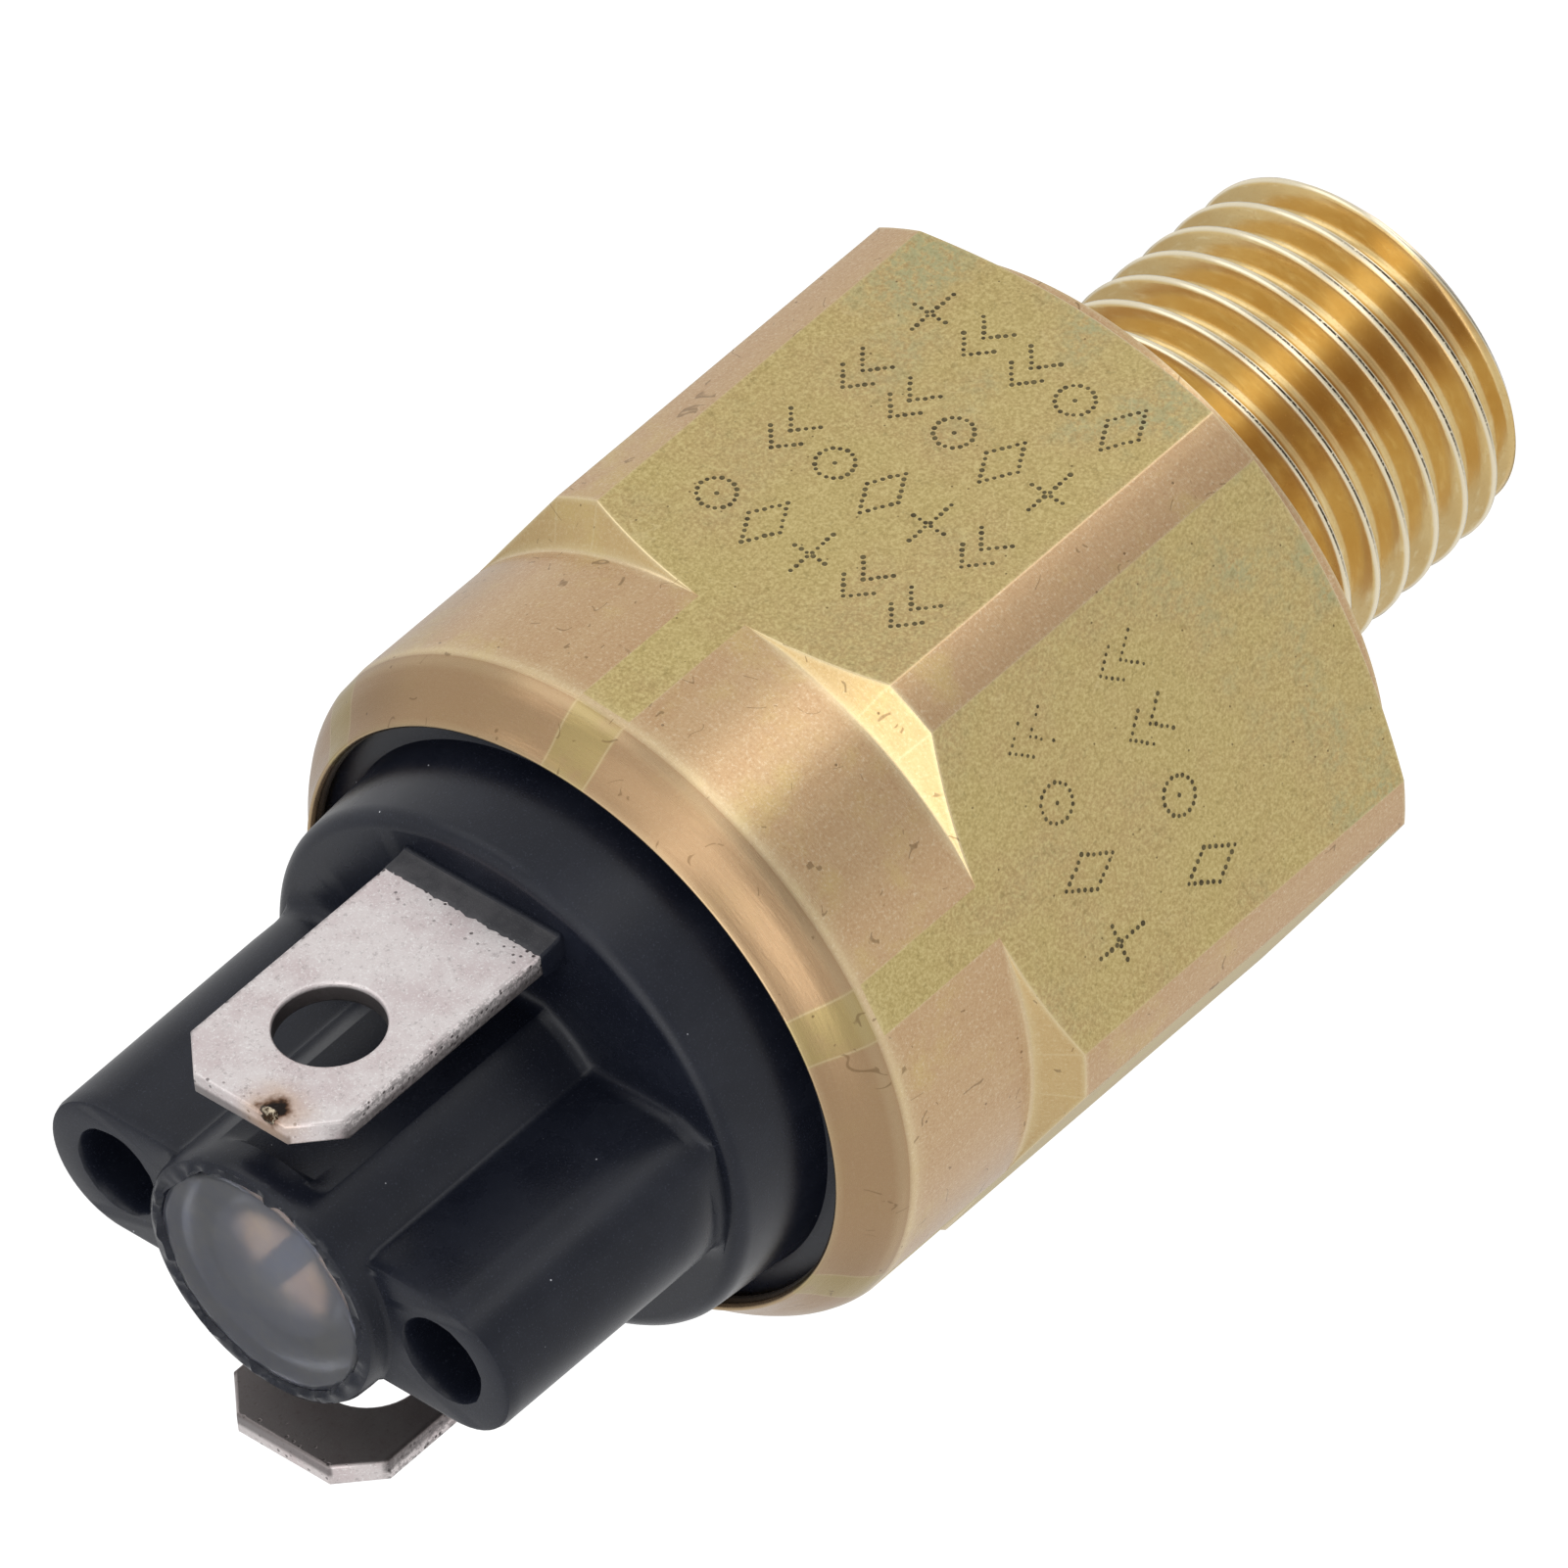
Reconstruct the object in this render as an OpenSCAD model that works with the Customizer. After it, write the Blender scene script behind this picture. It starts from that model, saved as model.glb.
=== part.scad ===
// Diaphragm pressure switch, normally open, with a hexagon body and two blade terminals.
// The origin is the centre of the hexagon's shoulder, which faces the port. +Z runs along
// the axis from the port thread to the terminals, and +X runs through the two boss holes.

/* [Hexagon body] */
// Width across the hexagon's flats
across_flats = 24; // [23.4:0.1:24.6]
// Diameter that the hexagon's corners are turned down to
corner_d = 26.68; // [26:0.02:27.4]
// Height of the hexagon above the shoulder, up to its top chamfer
hex_h = 15.85; // [15.2:0.05:16]
// Diameter of the turned collar above the hexagon
collar_d = 24.07; // [23.9:0.01:24.3]
// Angle from +X to the normal of the nearest flat
hex_turn = 25.7; // [0:0.1:60]
// Diameter of the raised ring on the shoulder's face
face_d = 23.2; // [22.4:0.1:23.6]
// Inside diameter of the crimped lip
lip_d = 20.6; // [20:0.1:21]
// Inside diameter of the bore that holds the socket's flange
seat_bore_d = 22.1; // [22.06:0.02:22.2]
// Inside diameter of the bore below the seat
chamber_d = 20; // [19.9:0.05:20.2]

/* [Port thread] */
// Length of the threaded stem
stem_l = 12.4; // [11:0.1:14]
// Distance from one thread to the next
thread_pitch = 1.411; // [1.3:0.001:1.45]
// Crest diameter at the shoulder end
thread_d = 13.6; // [13.2:0.05:14]
// Depth of the thread
thread_depth = 0.86; // [0.6:0.02:0.95]
// Diameter of the port through the stem
port_d = 3.2; // [2.4:0.1:4]

/* [Plastic socket] */
// Diameter of the flange that is crimped in
flange_d = 22; // [21.8:0.02:22.04]
// Diameter of the round shoulder above the flange
shoulder_d = 19.2; // [18.6:0.1:19.6]
// Distance between the two boss holes
boss_pitch = 13.1; // [12.8:0.1:13.4]
// Diameter of the blind boss holes
boss_hole_d = 2.95; // [2.5:0.05:3.1]
// Depth of the blind boss holes
boss_hole_l = 8; // [6:0.5:9]
// Thickness of the oblong block
block_w = 5; // [4.8:0.1:5.4]
// Length of the oblong block
block_l = 18.5; // [18:0.1:18.8]
// Outside diameter of the middle tube
tube_d = 9; // [8.8:0.1:9.4]

/* [Terminals] */
// Width of a terminal blade
blade_w = 6.3; // [6.2:0.1:6.4]
// Thickness of a terminal blade
blade_t = 0.8; // [0.7:0.05:0.85]
// Distance from the axis to the middle of a blade
blade_y = 7.2; // [7.1:0.05:7.3]
// Height of the blade's tip above the shoulder of the hexagon
blade_top = 37.9; // [36:0.1:38.5]
// Diameter of the hole in a blade
blade_hole_d = 3.5; // [1.6:0.1:3.8]

/* [Adjusting screw] */
// Diameter of the adjusting screw
screw_d = 4.6; // [4.5:0.05:4.65]
// Pitch of the adjusting screw
screw_pitch = 0.8; // [0.7:0.05:1]
// Width of the screwdriver slot
slot_w = 1.1; // [0.8:0.1:1.2]
// Angle of the slot from +X
slot_turn = 53.5; // [0:0.5:180]

/* [Moving parts] */
// Lift of the piston from rest until the contacts close
piston_lift = 0.5; // [0.3:0.05:0.5]
// Diameter of the piston's stem
piston_stem_d = 4.9; // [4.6:0.1:5]
// Diameter of the contact disc
disc_d = 13.6; // [13:0.1:14]
// Wire diameter of the setting spring
wire_d = 0.8; // [0.6:0.05:0.8]
// Middle diameter of the setting spring's coils
coil_d = 5.7; // [5.6:0.05:5.75]
// Turns of the setting spring
coil_turns = 9; // [7:1:10]

/* [Hidden] */

$fn = 64;
eps = 0.01;

// Heights of the stack inside the body, from the port upwards
diaphragm_z = 6.6;
diaphragm_t = 0.6;
ring_z = diaphragm_z + diaphragm_t;
ring_t = 1.9;
liner_z = ring_z + ring_t;
web_t = 1.4;
stop_gap = 0.6;
piston_disc_t = ring_t - stop_gap;
piston_top = 11;
plunger_foot_t = 1;
plunger_foot_top = piston_top + plunger_foot_t;
disc_z = 14;
disc_t = 0.6;
retainer_z = disc_z + disc_t;
retainer_t = 0.5;
spring_z = retainer_z + retainer_t;
rivet_z = disc_z + disc_t + piston_lift + 0.1;
foot_z = rivet_z + 0.4;
base_z = foot_z + blade_t;
seat_z = 17.5;
gasket_t = 0.6;
flange_z = seat_z + gasket_t;
flange_top = 23.3;
shoulder_top = 27;
block_top = 37.15;
tube_top = 38.05;
bush_z = 31.6;
bush_top = 35.6;
cap_z = 29.9;
cap_t = 1;
screw_z = cap_z + cap_t;
screw_top = 36.7;
compound_top = 38;

// Radii shared by neighbours in the stack
insert_r = chamber_d / 2 - 0.05;
roll_in_r = 6.1;
roll_out_r = 6.9;
liner_in_r = 8.3;
spring_bore_r = 3.5;
tube_bore_r = 3.6;
cap_r = 3.3;
barrel_r = 2.4;
blade_in = blade_y - blade_t / 2;
blade_out = blade_y + blade_t / 2;
tail_w = 4;
rivet_y = 5;
rivet_head_r = 1.3;
rivet_shank_r = 0.6;

// Points of an arc in a profile, from angle a0 to a1 in steps equal parts
function arc(r, z, rad, a0, a1, steps = 4) =
    [for (i = [0 : steps]) let (a = a0 + (a1 - a0) * i / steps) [r + rad * cos(a), z + rad * sin(a)]];

// A plain ring or disc between two radii
module ring(out_r, in_r, z, h) {
    translate([0, 0, z]) difference() {
        cylinder(r = out_r, h = h);
        if (in_r > 0) translate([0, 0, -eps]) cylinder(r = in_r, h = h + 2 * eps);
    }
}

// Height of a coil spring's wire after t turns: one closed turn at each end
function coil_rise(t, turns, wire, h) =
    let (closed = wire * 1.04, open = (h - wire - 2 * closed) / (turns - 2))
    t < 1 ? closed * t :
    t > turns - 1 ? h - wire - closed * (turns - t) :
    closed + open * (t - 1);

// A coil spring standing on z, swept as one closed tube
module coil(mid_r, wire, z, h, turns, segs = 24, sides = 8) {
    rings = turns * segs;
    points = [
        for (i = [0 : rings], k = [0 : sides - 1])
        let (
            turn = 360 * i / segs,
            side = 360 * k / sides,
            r = mid_r + wire / 2 * cos(side),
            up = z + wire / 2 + coil_rise(i / segs, turns, wire, h) + wire / 2 * sin(side)
        )
        [r * cos(turn), r * sin(turn), up]
    ];
    walls = [
        for (i = [0 : rings - 1], k = [0 : sides - 1])
        let (a = i * sides + k, b = i * sides + (k + 1) % sides)
        each [[a, a + sides, b], [b, a + sides, b + sides]]
    ];
    first = [for (k = [0 : sides - 1]) k];
    last = [for (k = [sides - 1 : -1 : 0]) rings * sides + k];
    polyhedron(points, concat(walls, [first, last]));
}

// Turned outline of the body above the shoulder
module body_outline() {
    corner_r = corner_d / 2;
    collar_r = collar_d / 2;
    lip_r = lip_d / 2;
    face_r = face_d / 2;
    face_h = 0.38;
    low_chamfer_top = 1.18;
    top_chamfer = 0.95;
    bend_r = 11.66;
    polygon(concat(
        [[0, 0], [face_r, 0], [face_r, face_h], [corner_r, low_chamfer_top], [corner_r, hex_h],
         [collar_r, hex_h + top_chamfer], [collar_r, 22.5]],
        arc(collar_r - 1, 22.5, 1, 9, 40, 3),
        [[bend_r, 23.28]],
        arc(lip_r + 0.3, 23.87, 0.45, 60, 105, 3),
        [[lip_r, 24.27], [0, 24.27]]
    ));
}

// Stem with its tapered thread, cut as rings of a steady pitch
module threaded_stem() {
    taper = 1 / 32;
    relief_l = 0.75;
    crest = 0.16;
    crest_r = function (z) thread_d / 2 + z * taper;
    root_r = function (z) crest_r(z) - thread_depth;
    first_crest = -1.29;
    end_r = crest_r(-stem_l) - 0.33;
    slope_l = 2;
    count = floor((stem_l + first_crest) / thread_pitch) + 1;
    intersection() {
        rotate_extrude() polygon(concat(
            [[0, 1], [root_r(0), 1], [root_r(0), -relief_l]],
            [for (i = [0 : count - 1]) let (z = first_crest - i * thread_pitch)
                each [
                    [crest_r(z + crest / 2), z + crest / 2],
                    [crest_r(z - crest / 2), z - crest / 2],
                    [root_r(z - thread_pitch / 2), max(z - thread_pitch / 2, -stem_l + eps)]
                ]
            ],
            [[root_r(-stem_l), -stem_l], [0, -stem_l]]
        ));
        rotate_extrude() polygon([
            [0, 1], [end_r + slope_l, 1], [end_r + slope_l, -stem_l + slope_l], [end_r, -stem_l], [0, -stem_l]
        ]);
    }
}

// Bore of the body, from the port to the crimped lip
module body_bore() {
    lip_under_r = seat_bore_d / 2;
    rotate_extrude() polygon([
        [0, -stem_l - 1], [port_d / 2 + 1.41, -stem_l - 1], [port_d / 2, -stem_l + 0.4],
        [port_d / 2, 3.6], [roll_out_r - 0.3, 5.4], [roll_out_r - 0.3, diaphragm_z],
        [chamber_d / 2, diaphragm_z], [chamber_d / 2, seat_z], [lip_under_r, seat_z],
        [lip_under_r, flange_top + 0.02], [lip_d / 2, flange_top + 0.32], [lip_d / 2, 25], [0, 25]
    ]);
}

module hex_body() {
    color([0.72, 0.61, 0.40]) difference() {
        union() {
            intersection() {
                rotate([0, 0, hex_turn]) rotate([0, 0, 30])
                    cylinder(d = across_flats / cos(30), h = 30, $fn = 6);
                rotate_extrude() body_outline();
            }
            threaded_stem();
        }
        body_bore();
    }
}

// Moulded rubber disc with a rolled channel between the piston and the clamping ring
module diaphragm() {
    mid_r = (roll_in_r + roll_out_r) / 2;
    roll_r = (roll_out_r - roll_in_r) / 2;
    color([0.16, 0.15, 0.14]) rotate_extrude() polygon(concat(
        [[0, diaphragm_z], [insert_r, diaphragm_z], [insert_r, ring_z], [roll_out_r + 0.05, ring_z]],
        arc(mid_r, ring_z, roll_r - 0.05, 0, 180, 8),
        [[0, ring_z]]
    ));
}

module clamping_ring() {
    lead = 0.3;
    color([0.70, 0.71, 0.72]) rotate_extrude() polygon([
        [roll_out_r, ring_z], [insert_r, ring_z], [insert_r, liner_z - lead],
        [insert_r - lead, liner_z], [roll_out_r, liner_z]
    ]);
}

// Insulating cup that guides the piston and keeps the contacts off the metal body
module contact_liner() {
    color([0.78, 0.74, 0.64]) rotate_extrude() polygon([
        [piston_stem_d / 2 + 0.08, liner_z], [insert_r, liner_z], [insert_r, base_z],
        [liner_in_r, base_z], [liner_in_r, liner_z + web_t], [piston_stem_d / 2 + 0.08, liner_z + web_t]
    ]);
}

module piston() {
    edge = 0.3;
    spigot_r = 1.5;
    color([0.80, 0.80, 0.78]) rotate_extrude() polygon([
        [0, ring_z], [roll_in_r - edge, ring_z], [roll_in_r - 0.1, ring_z + edge],
        [roll_in_r - 0.1, ring_z + piston_disc_t], [piston_stem_d / 2, ring_z + piston_disc_t],
        [piston_stem_d / 2, piston_top], [spigot_r, piston_top], [spigot_r, piston_top + 1.2],
        [0, piston_top + 1.2]
    ]);
}

// Insulating plunger that is pressed on the piston and carries the contact disc
module plunger() {
    foot_r = 4.2;
    socket_r = 1.5;
    nose_r = 2.2;
    color([0.86, 0.84, 0.78]) rotate_extrude() polygon([
        [socket_r, piston_top], [foot_r, piston_top], [foot_r, plunger_foot_top],
        [barrel_r, plunger_foot_top], [barrel_r, spring_z], [nose_r, spring_z],
        [nose_r, spring_z + 1.2], [nose_r - 0.3, spring_z + 1.5], [0, spring_z + 1.5],
        [0, piston_top + 1.2], [socket_r, piston_top + 1.2]
    ]);
}

module contact_spring() {
    color([0.74, 0.75, 0.76])
        coil(mid_r = 3.2, wire = 0.4, z = plunger_foot_top, h = disc_z - plunger_foot_top, turns = 4, sides = 6);
}

module contact_disc() {
    pad_r = 0.08;
    color([0.82, 0.62, 0.30]) rotate_extrude() polygon([
        [barrel_r + pad_r, disc_z], [disc_d / 2, disc_z], [disc_d / 2, disc_z + disc_t],
        [barrel_r + pad_r, disc_z + disc_t]
    ]);
}

module disc_retainer() {
    color([0.66, 0.67, 0.69]) ring(cap_r, barrel_r, retainer_z, retainer_t);
}

// Silver contact rivet through the terminal's foot
module contact_rivet() {
    head_t = foot_z - rivet_z;
    crown = 0.25;
    color([0.86, 0.86, 0.88]) translate([0, rivet_y, 0]) rotate_extrude() polygon([
        [0, rivet_z], [rivet_head_r - crown, rivet_z], [rivet_head_r, rivet_z + crown],
        [rivet_head_r, rivet_z + head_t], [rivet_shank_r, rivet_z + head_t],
        [rivet_shank_r, base_z + 0.5], [0, base_z + 0.5]
    ]);
}

module contact_rivet_front() {
    contact_rivet();
}

module contact_rivet_rear() {
    rotate([0, 0, 180]) contact_rivet();
}

// Outline of the blade and its narrow tail, seen along Y
module blade_outline(low, gap = 0) {
    tip = 1.3;
    wide_z = 21.5;
    half = blade_w / 2 + gap;
    tail = tail_w / 2 + gap;
    polygon([
        [-tail, low], [tail, low], [tail, wide_z], [half, wide_z], [half, blade_top - tip],
        [half - tip, blade_top], [-half + tip, blade_top], [-half, blade_top - tip],
        [-half, wide_z], [-tail, wide_z]
    ]);
}

// Stamped terminal: a bevelled blade outside, and a foot that is bent in below the socket
module terminal() {
    bevel = 0.22;
    foot_in = 3.7;
    color([0.80, 0.78, 0.77]) difference() {
        union() {
            intersection() {
                translate([0, blade_out, 0]) rotate([90, 0, 0])
                    linear_extrude(blade_t) blade_outline(foot_z);
                rotate([90, 0, 90]) translate([0, 0, -blade_w]) linear_extrude(2 * blade_w) polygon([
                    [blade_in, foot_z], [blade_out, foot_z], [blade_out, blade_top - 2 * bevel],
                    [blade_out - bevel, blade_top], [blade_in + bevel, blade_top],
                    [blade_in, blade_top - 2 * bevel]
                ]);
            }
            translate([-tail_w / 2, foot_in, foot_z]) cube([tail_w, blade_out - foot_in, blade_t]);
        }
        translate([0, blade_out + 1, 33.9]) rotate([90, 0, 0]) cylinder(d = blade_hole_d, h = blade_t + 2);
        translate([0, rivet_y, foot_z - 1]) cylinder(r = rivet_shank_r, h = blade_t + 2);
    }
}

module terminal_front() {
    terminal();
}

module terminal_rear() {
    rotate([0, 0, 180]) terminal();
}

module socket_gasket() {
    color([0.12, 0.12, 0.13]) ring(flange_d / 2 - 0.05, chamber_d / 2 + 0.1, seat_z, gasket_t);
}

// Moulded socket: flange, round shoulder, oblong block with two bosses, and the middle tube
module socket_base() {
    shoulder_r = shoulder_d / 2;
    soft = 0.5;
    low_r = 9.6;
    flat_y = 4;
    flat_top = 36.4;
    pad_w = blade_w + 0.5;
    pad_top = 28.1;
    end_x = block_l / 2 - block_w / 2;
    color([0.15, 0.155, 0.18]) difference() {
        union() {
            rotate_extrude() polygon(concat(
                [[0, base_z], [low_r, base_z], [low_r, flange_z], [flange_d / 2, flange_z],
                 [flange_d / 2, flange_top - 0.3], [flange_d / 2 - 0.3, flange_top], [shoulder_r, flange_top]],
                arc(shoulder_r - 0.2 - soft, shoulder_top - soft, soft, 0, 90),
                [[0, shoulder_top]]
            ));
            translate([0, 0, shoulder_top - 1]) linear_extrude(block_top - shoulder_top + 1) union() {
                square([2 * end_x, block_w], center = true);
                for (side = [-1, 1]) translate([side * end_x, 0]) circle(d = block_w);
            }
            difference() {
                translate([0, 0, shoulder_top - 1]) cylinder(d = tube_d, h = tube_top - shoulder_top + 1);
                for (side = [0, 180]) rotate([0, 0, side])
                    translate([-tube_d, flat_y, shoulder_top]) cube([2 * tube_d, tube_d, flat_top - shoulder_top]);
            }
            for (side = [0, 180]) rotate([0, 0, side])
                translate([-pad_w / 2, blade_in - 0.2, shoulder_top - 1])
                    cube([pad_w, blade_t + 0.35, pad_top - shoulder_top + 1]);
        }
        translate([0, 0, base_z - 1]) cylinder(r = spring_bore_r, h = bush_z - base_z + 2);
        rotate_extrude() polygon([
            [0, bush_z], [tube_bore_r, bush_z], [tube_bore_r, tube_top - 0.85],
            [tube_bore_r + 0.25, tube_top], [tube_bore_r + 0.25, tube_top + 1], [0, tube_top + 1]
        ]);
        for (side = [-1, 1]) translate([side * boss_pitch / 2, 0, block_top - boss_hole_l])
            cylinder(d = boss_hole_d, h = boss_hole_l + 1);
        for (side = [0, 180]) rotate([0, 0, side]) {
            translate([0, blade_out, 0]) rotate([90, 0, 0]) linear_extrude(blade_t) blade_outline(base_z - 1);
            translate([0, rivet_y, base_z - 1]) cylinder(r = rivet_shank_r, h = 1.5);
        }
    }
}

module setting_spring() {
    color([0.62, 0.63, 0.65])
        coil(mid_r = coil_d / 2, wire = wire_d, z = spring_z, h = cap_z - spring_z, turns = coil_turns);
}

// Upper seat of the spring, with a nose inside the coils and a dimple for the screw's point
module spring_cap() {
    nose_r = 2.2;
    color([0.78, 0.68, 0.42]) rotate_extrude() polygon([
        [0, cap_z - 1], [nose_r - 0.3, cap_z - 1], [nose_r, cap_z - 0.7], [nose_r, cap_z],
        [cap_r, cap_z], [cap_r, cap_z + cap_t], [0.9, cap_z + cap_t], [0, cap_z + cap_t - 0.5]
    ]);
}

// Brass bush, pressed in the tube from above, with knurling rings on its outside
module threaded_bush() {
    groove = 0.2;
    grooves = 3;
    step = (bush_top - bush_z) / (grooves + 1);
    color([0.80, 0.66, 0.36]) rotate_extrude() polygon(concat(
        [[screw_d / 2 + 0.05, bush_z], [tube_bore_r, bush_z]],
        [for (i = [1 : grooves]) let (z = bush_z + i * step) each [
            [tube_bore_r, z - groove], [tube_bore_r - groove, z], [tube_bore_r, z + groove]
        ]],
        [[tube_bore_r, bush_top], [screw_d / 2 + 0.05, bush_top]]
    ));
}

module adjusting_screw() {
    crest_r = screw_d / 2;
    root_r = crest_r - 0.35;
    slot_l = 1.2;
    threads = floor((screw_top - screw_z - 1.6) / screw_pitch);
    color([0.78, 0.66, 0.46]) difference() {
        rotate_extrude() polygon(concat(
            [[0, screw_z - 0.4], [0.8, screw_z + 0.1], [root_r - 0.3, screw_z + 0.2], [root_r, screw_z + 0.5]],
            [for (i = [0 : threads - 1]) let (z = screw_z + 0.6 + i * screw_pitch) each [
                [root_r, z], [crest_r, z + 0.36 * screw_pitch], [crest_r, z + 0.5 * screw_pitch]
            ]],
            [[root_r, screw_z + 0.6 + threads * screw_pitch], [crest_r, screw_top - 0.8],
             [crest_r, screw_top - 0.2], [crest_r - 0.2, screw_top], [0, screw_top]]
        ));
        rotate([0, 0, slot_turn]) translate([-screw_d, -slot_w / 2, screw_top - slot_l])
            cube([2 * screw_d, slot_w, slot_l + 1]);
    }
}

// Poured compound that closes the tube over the screw
module sealing_compound() {
    gap = 0.1;
    color([0.36, 0.38, 0.46, 0.6]) rotate_extrude() polygon([
        [screw_d / 2 + gap, bush_top], [tube_bore_r, bush_top], [tube_bore_r, tube_top - 0.85],
        [tube_bore_r + 0.235, compound_top], [2.4, compound_top - 0.06], [0, compound_top - 0.12],
        [0, screw_top + 0.2], [screw_d / 2 + gap, screw_top + 0.2]
    ]);
}

hex_body();
diaphragm();
clamping_ring();
contact_liner();
piston();
plunger();
contact_spring();
contact_disc();
disc_retainer();
contact_rivet_front();
contact_rivet_rear();
terminal_front();
terminal_rear();
socket_gasket();
socket_base();
setting_spring();
spring_cap();
threaded_bush();
adjusting_screw();
sealing_compound();
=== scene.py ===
from math import acos, asin, atan2, cos, degrees, hypot, pi, radians, sin, sqrt, tau

import bmesh
import bpy
from mathutils import Matrix, Vector, noise


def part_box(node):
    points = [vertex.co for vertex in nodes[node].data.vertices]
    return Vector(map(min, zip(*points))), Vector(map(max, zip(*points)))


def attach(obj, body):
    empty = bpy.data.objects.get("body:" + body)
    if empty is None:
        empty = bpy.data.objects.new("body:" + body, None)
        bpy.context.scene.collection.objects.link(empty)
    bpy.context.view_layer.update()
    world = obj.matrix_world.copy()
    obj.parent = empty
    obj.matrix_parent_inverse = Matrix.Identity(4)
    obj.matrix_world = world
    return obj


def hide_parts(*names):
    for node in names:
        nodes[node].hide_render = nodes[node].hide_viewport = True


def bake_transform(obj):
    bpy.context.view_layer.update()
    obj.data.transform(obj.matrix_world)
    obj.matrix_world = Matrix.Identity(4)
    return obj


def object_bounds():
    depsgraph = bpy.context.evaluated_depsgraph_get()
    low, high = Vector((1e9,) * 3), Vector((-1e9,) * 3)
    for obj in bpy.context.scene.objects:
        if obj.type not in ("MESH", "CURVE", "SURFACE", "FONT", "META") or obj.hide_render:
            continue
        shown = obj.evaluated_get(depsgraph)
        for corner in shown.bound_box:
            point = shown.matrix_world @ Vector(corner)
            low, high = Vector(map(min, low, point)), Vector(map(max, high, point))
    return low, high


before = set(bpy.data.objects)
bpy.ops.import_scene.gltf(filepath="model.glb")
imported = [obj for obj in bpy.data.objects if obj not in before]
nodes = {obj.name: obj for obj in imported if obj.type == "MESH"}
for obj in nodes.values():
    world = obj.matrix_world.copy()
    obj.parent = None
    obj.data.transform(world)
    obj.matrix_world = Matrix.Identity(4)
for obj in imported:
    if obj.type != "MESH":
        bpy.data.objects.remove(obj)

cad_low, cad_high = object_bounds()
MM = 0.001


# ------------------------------------------------------------
# Hexagon body. One piece turned from 24 mm free-cutting steel hexagon bar, zinc plated and
# yellow chromated: port stem with its tapered thread, shoulder, hexagon and collar, whose
# rim is rolled over the socket's flange.
ACROSS_FLATS = 24.0
CORNER_R = 13.34
COLLAR_R = 12.035
FACE_R = 11.6
FACE_H = 0.38
LOW_CHAMFER_TOP = 1.18
HEX_TOP = 15.85
COLLAR_Z = 16.8
FIRST_FLAT = radians(25.7)
STEM_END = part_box("hex_body")[0].z / MM
LIP_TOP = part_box("hex_body")[1].z / MM

THREAD_PITCH = 1.411
THREAD_DEPTH = 0.86
THREAD_TAPER = 1 / 32
CREST_R_AT_SHOULDER = 6.8
CREST_Z = -1.29
CREST_ANGLE = radians(-36.5)
RELIEF_Z = -0.75
STEM_END_R = 6.08

BORE_R = 1.6
CHAMBER_R = 10.0
SEAT_R = 11.05
ROLL_Z = 22.1
LIP_R = 10.3


def srgb(red, green, blue):
    """Linear colour of an 8-bit screen colour."""
    def linear(c):
        c = c / 255
        return c / 12.92 if c <= 0.04045 else ((c + 0.055) / 1.055) ** 2.4
    return (linear(red), linear(green), linear(blue), 1.0)


def spread(low, high, count):
    """Count even steps from low, leaving high out."""
    return [low + (high - low) * i / count for i in range(count)]


def softened(corners, steps=4):
    """A profile of (r, z, mark) points with its corners rounded. A corner is (r, z, reach, mark), where
    mark is the corner's edge wear together with a painted highlight line.
    """
    points = [(corners[0][0], corners[0][1], 0.0)]
    for before, here, after in zip(corners, corners[1:], corners[2:]):
        c = Vector(here[:2])
        back, ahead = Vector(before[:2]) - c, Vector(after[:2]) - c
        reach = min(here[2], back.length * 0.45, ahead.length * 0.45)
        back = back.normalized() if back.length > 1e-6 else Vector((0, 0))
        ahead = ahead.normalized() if ahead.length > 1e-6 else Vector((0, 0))
        guard = min(3 * reach, (Vector(before[:2]) - c).length * 0.48)
        points.append((*(c + back * guard), 0.0))
        for i in range(steps + 1):
            t = i / steps
            p = (c + back * reach) * (1 - t) ** 2 + 2 * c * t * (1 - t) + (c + ahead * reach) * t ** 2
            points.append((*p, here[3] * sin(pi * (0.15 + 0.7 * t)) if reach > 0.01 else 0.0))
        guard = min(3 * reach, (Vector(after[:2]) - c).length * 0.48)
        points.append((*(c + ahead * guard), 0.0))
    points.append((corners[-1][0], corners[-1][1], 0.0))
    return points


def at(r, angle, z):
    """The point at a radius, an angle and a height."""
    return (r * cos(angle), r * sin(angle), z)


def grid_faces(columns, rows, joined_columns=True, joined_rows=True):
    """Faces between points that run column by column, with the last joined to the first or not."""
    faces = []
    for c in range(columns if joined_columns else columns - 1):
        d = (c + 1) % columns
        for row in range(rows if joined_rows else rows - 1):
            after = (row + 1) % rows
            faces.append((c * rows + row, d * rows + row, d * rows + after, c * rows + after))
    return faces


def make_piece(name, points, faces, materials, indices=None, wear_and_highlight=None):
    """A smooth-shaded mesh object from points in millimetres, with its seams merged."""
    mesh = bpy.data.meshes.new(name)
    mesh.from_pydata([Vector(p) * MM for p in points], [], faces)
    for material in materials:
        mesh.materials.append(material)
    if indices:
        mesh.polygons.foreach_set("material_index", indices)
    if wear_and_highlight:
        mesh.attributes.new("wear_and_highlight", "FLOAT", "POINT").data.foreach_set("value", wear_and_highlight)
    piece = bpy.data.objects.new(name, mesh)
    bpy.context.scene.collection.objects.link(piece)
    bm = bmesh.new()
    bm.from_mesh(mesh)
    bmesh.ops.remove_doubles(bm, verts=bm.verts, dist=0.0005 * MM)
    bmesh.ops.dissolve_degenerate(bm, edges=bm.edges, dist=0.0005 * MM)
    bmesh.ops.recalc_face_normals(bm, faces=bm.faces)
    for face in bm.faces:
        face.smooth = True
    bm.to_mesh(mesh)
    bm.free()
    weighted = piece.modifiers.new("weighted_normals", "WEIGHTED_NORMAL")
    weighted.weight = 80
    return piece


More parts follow.
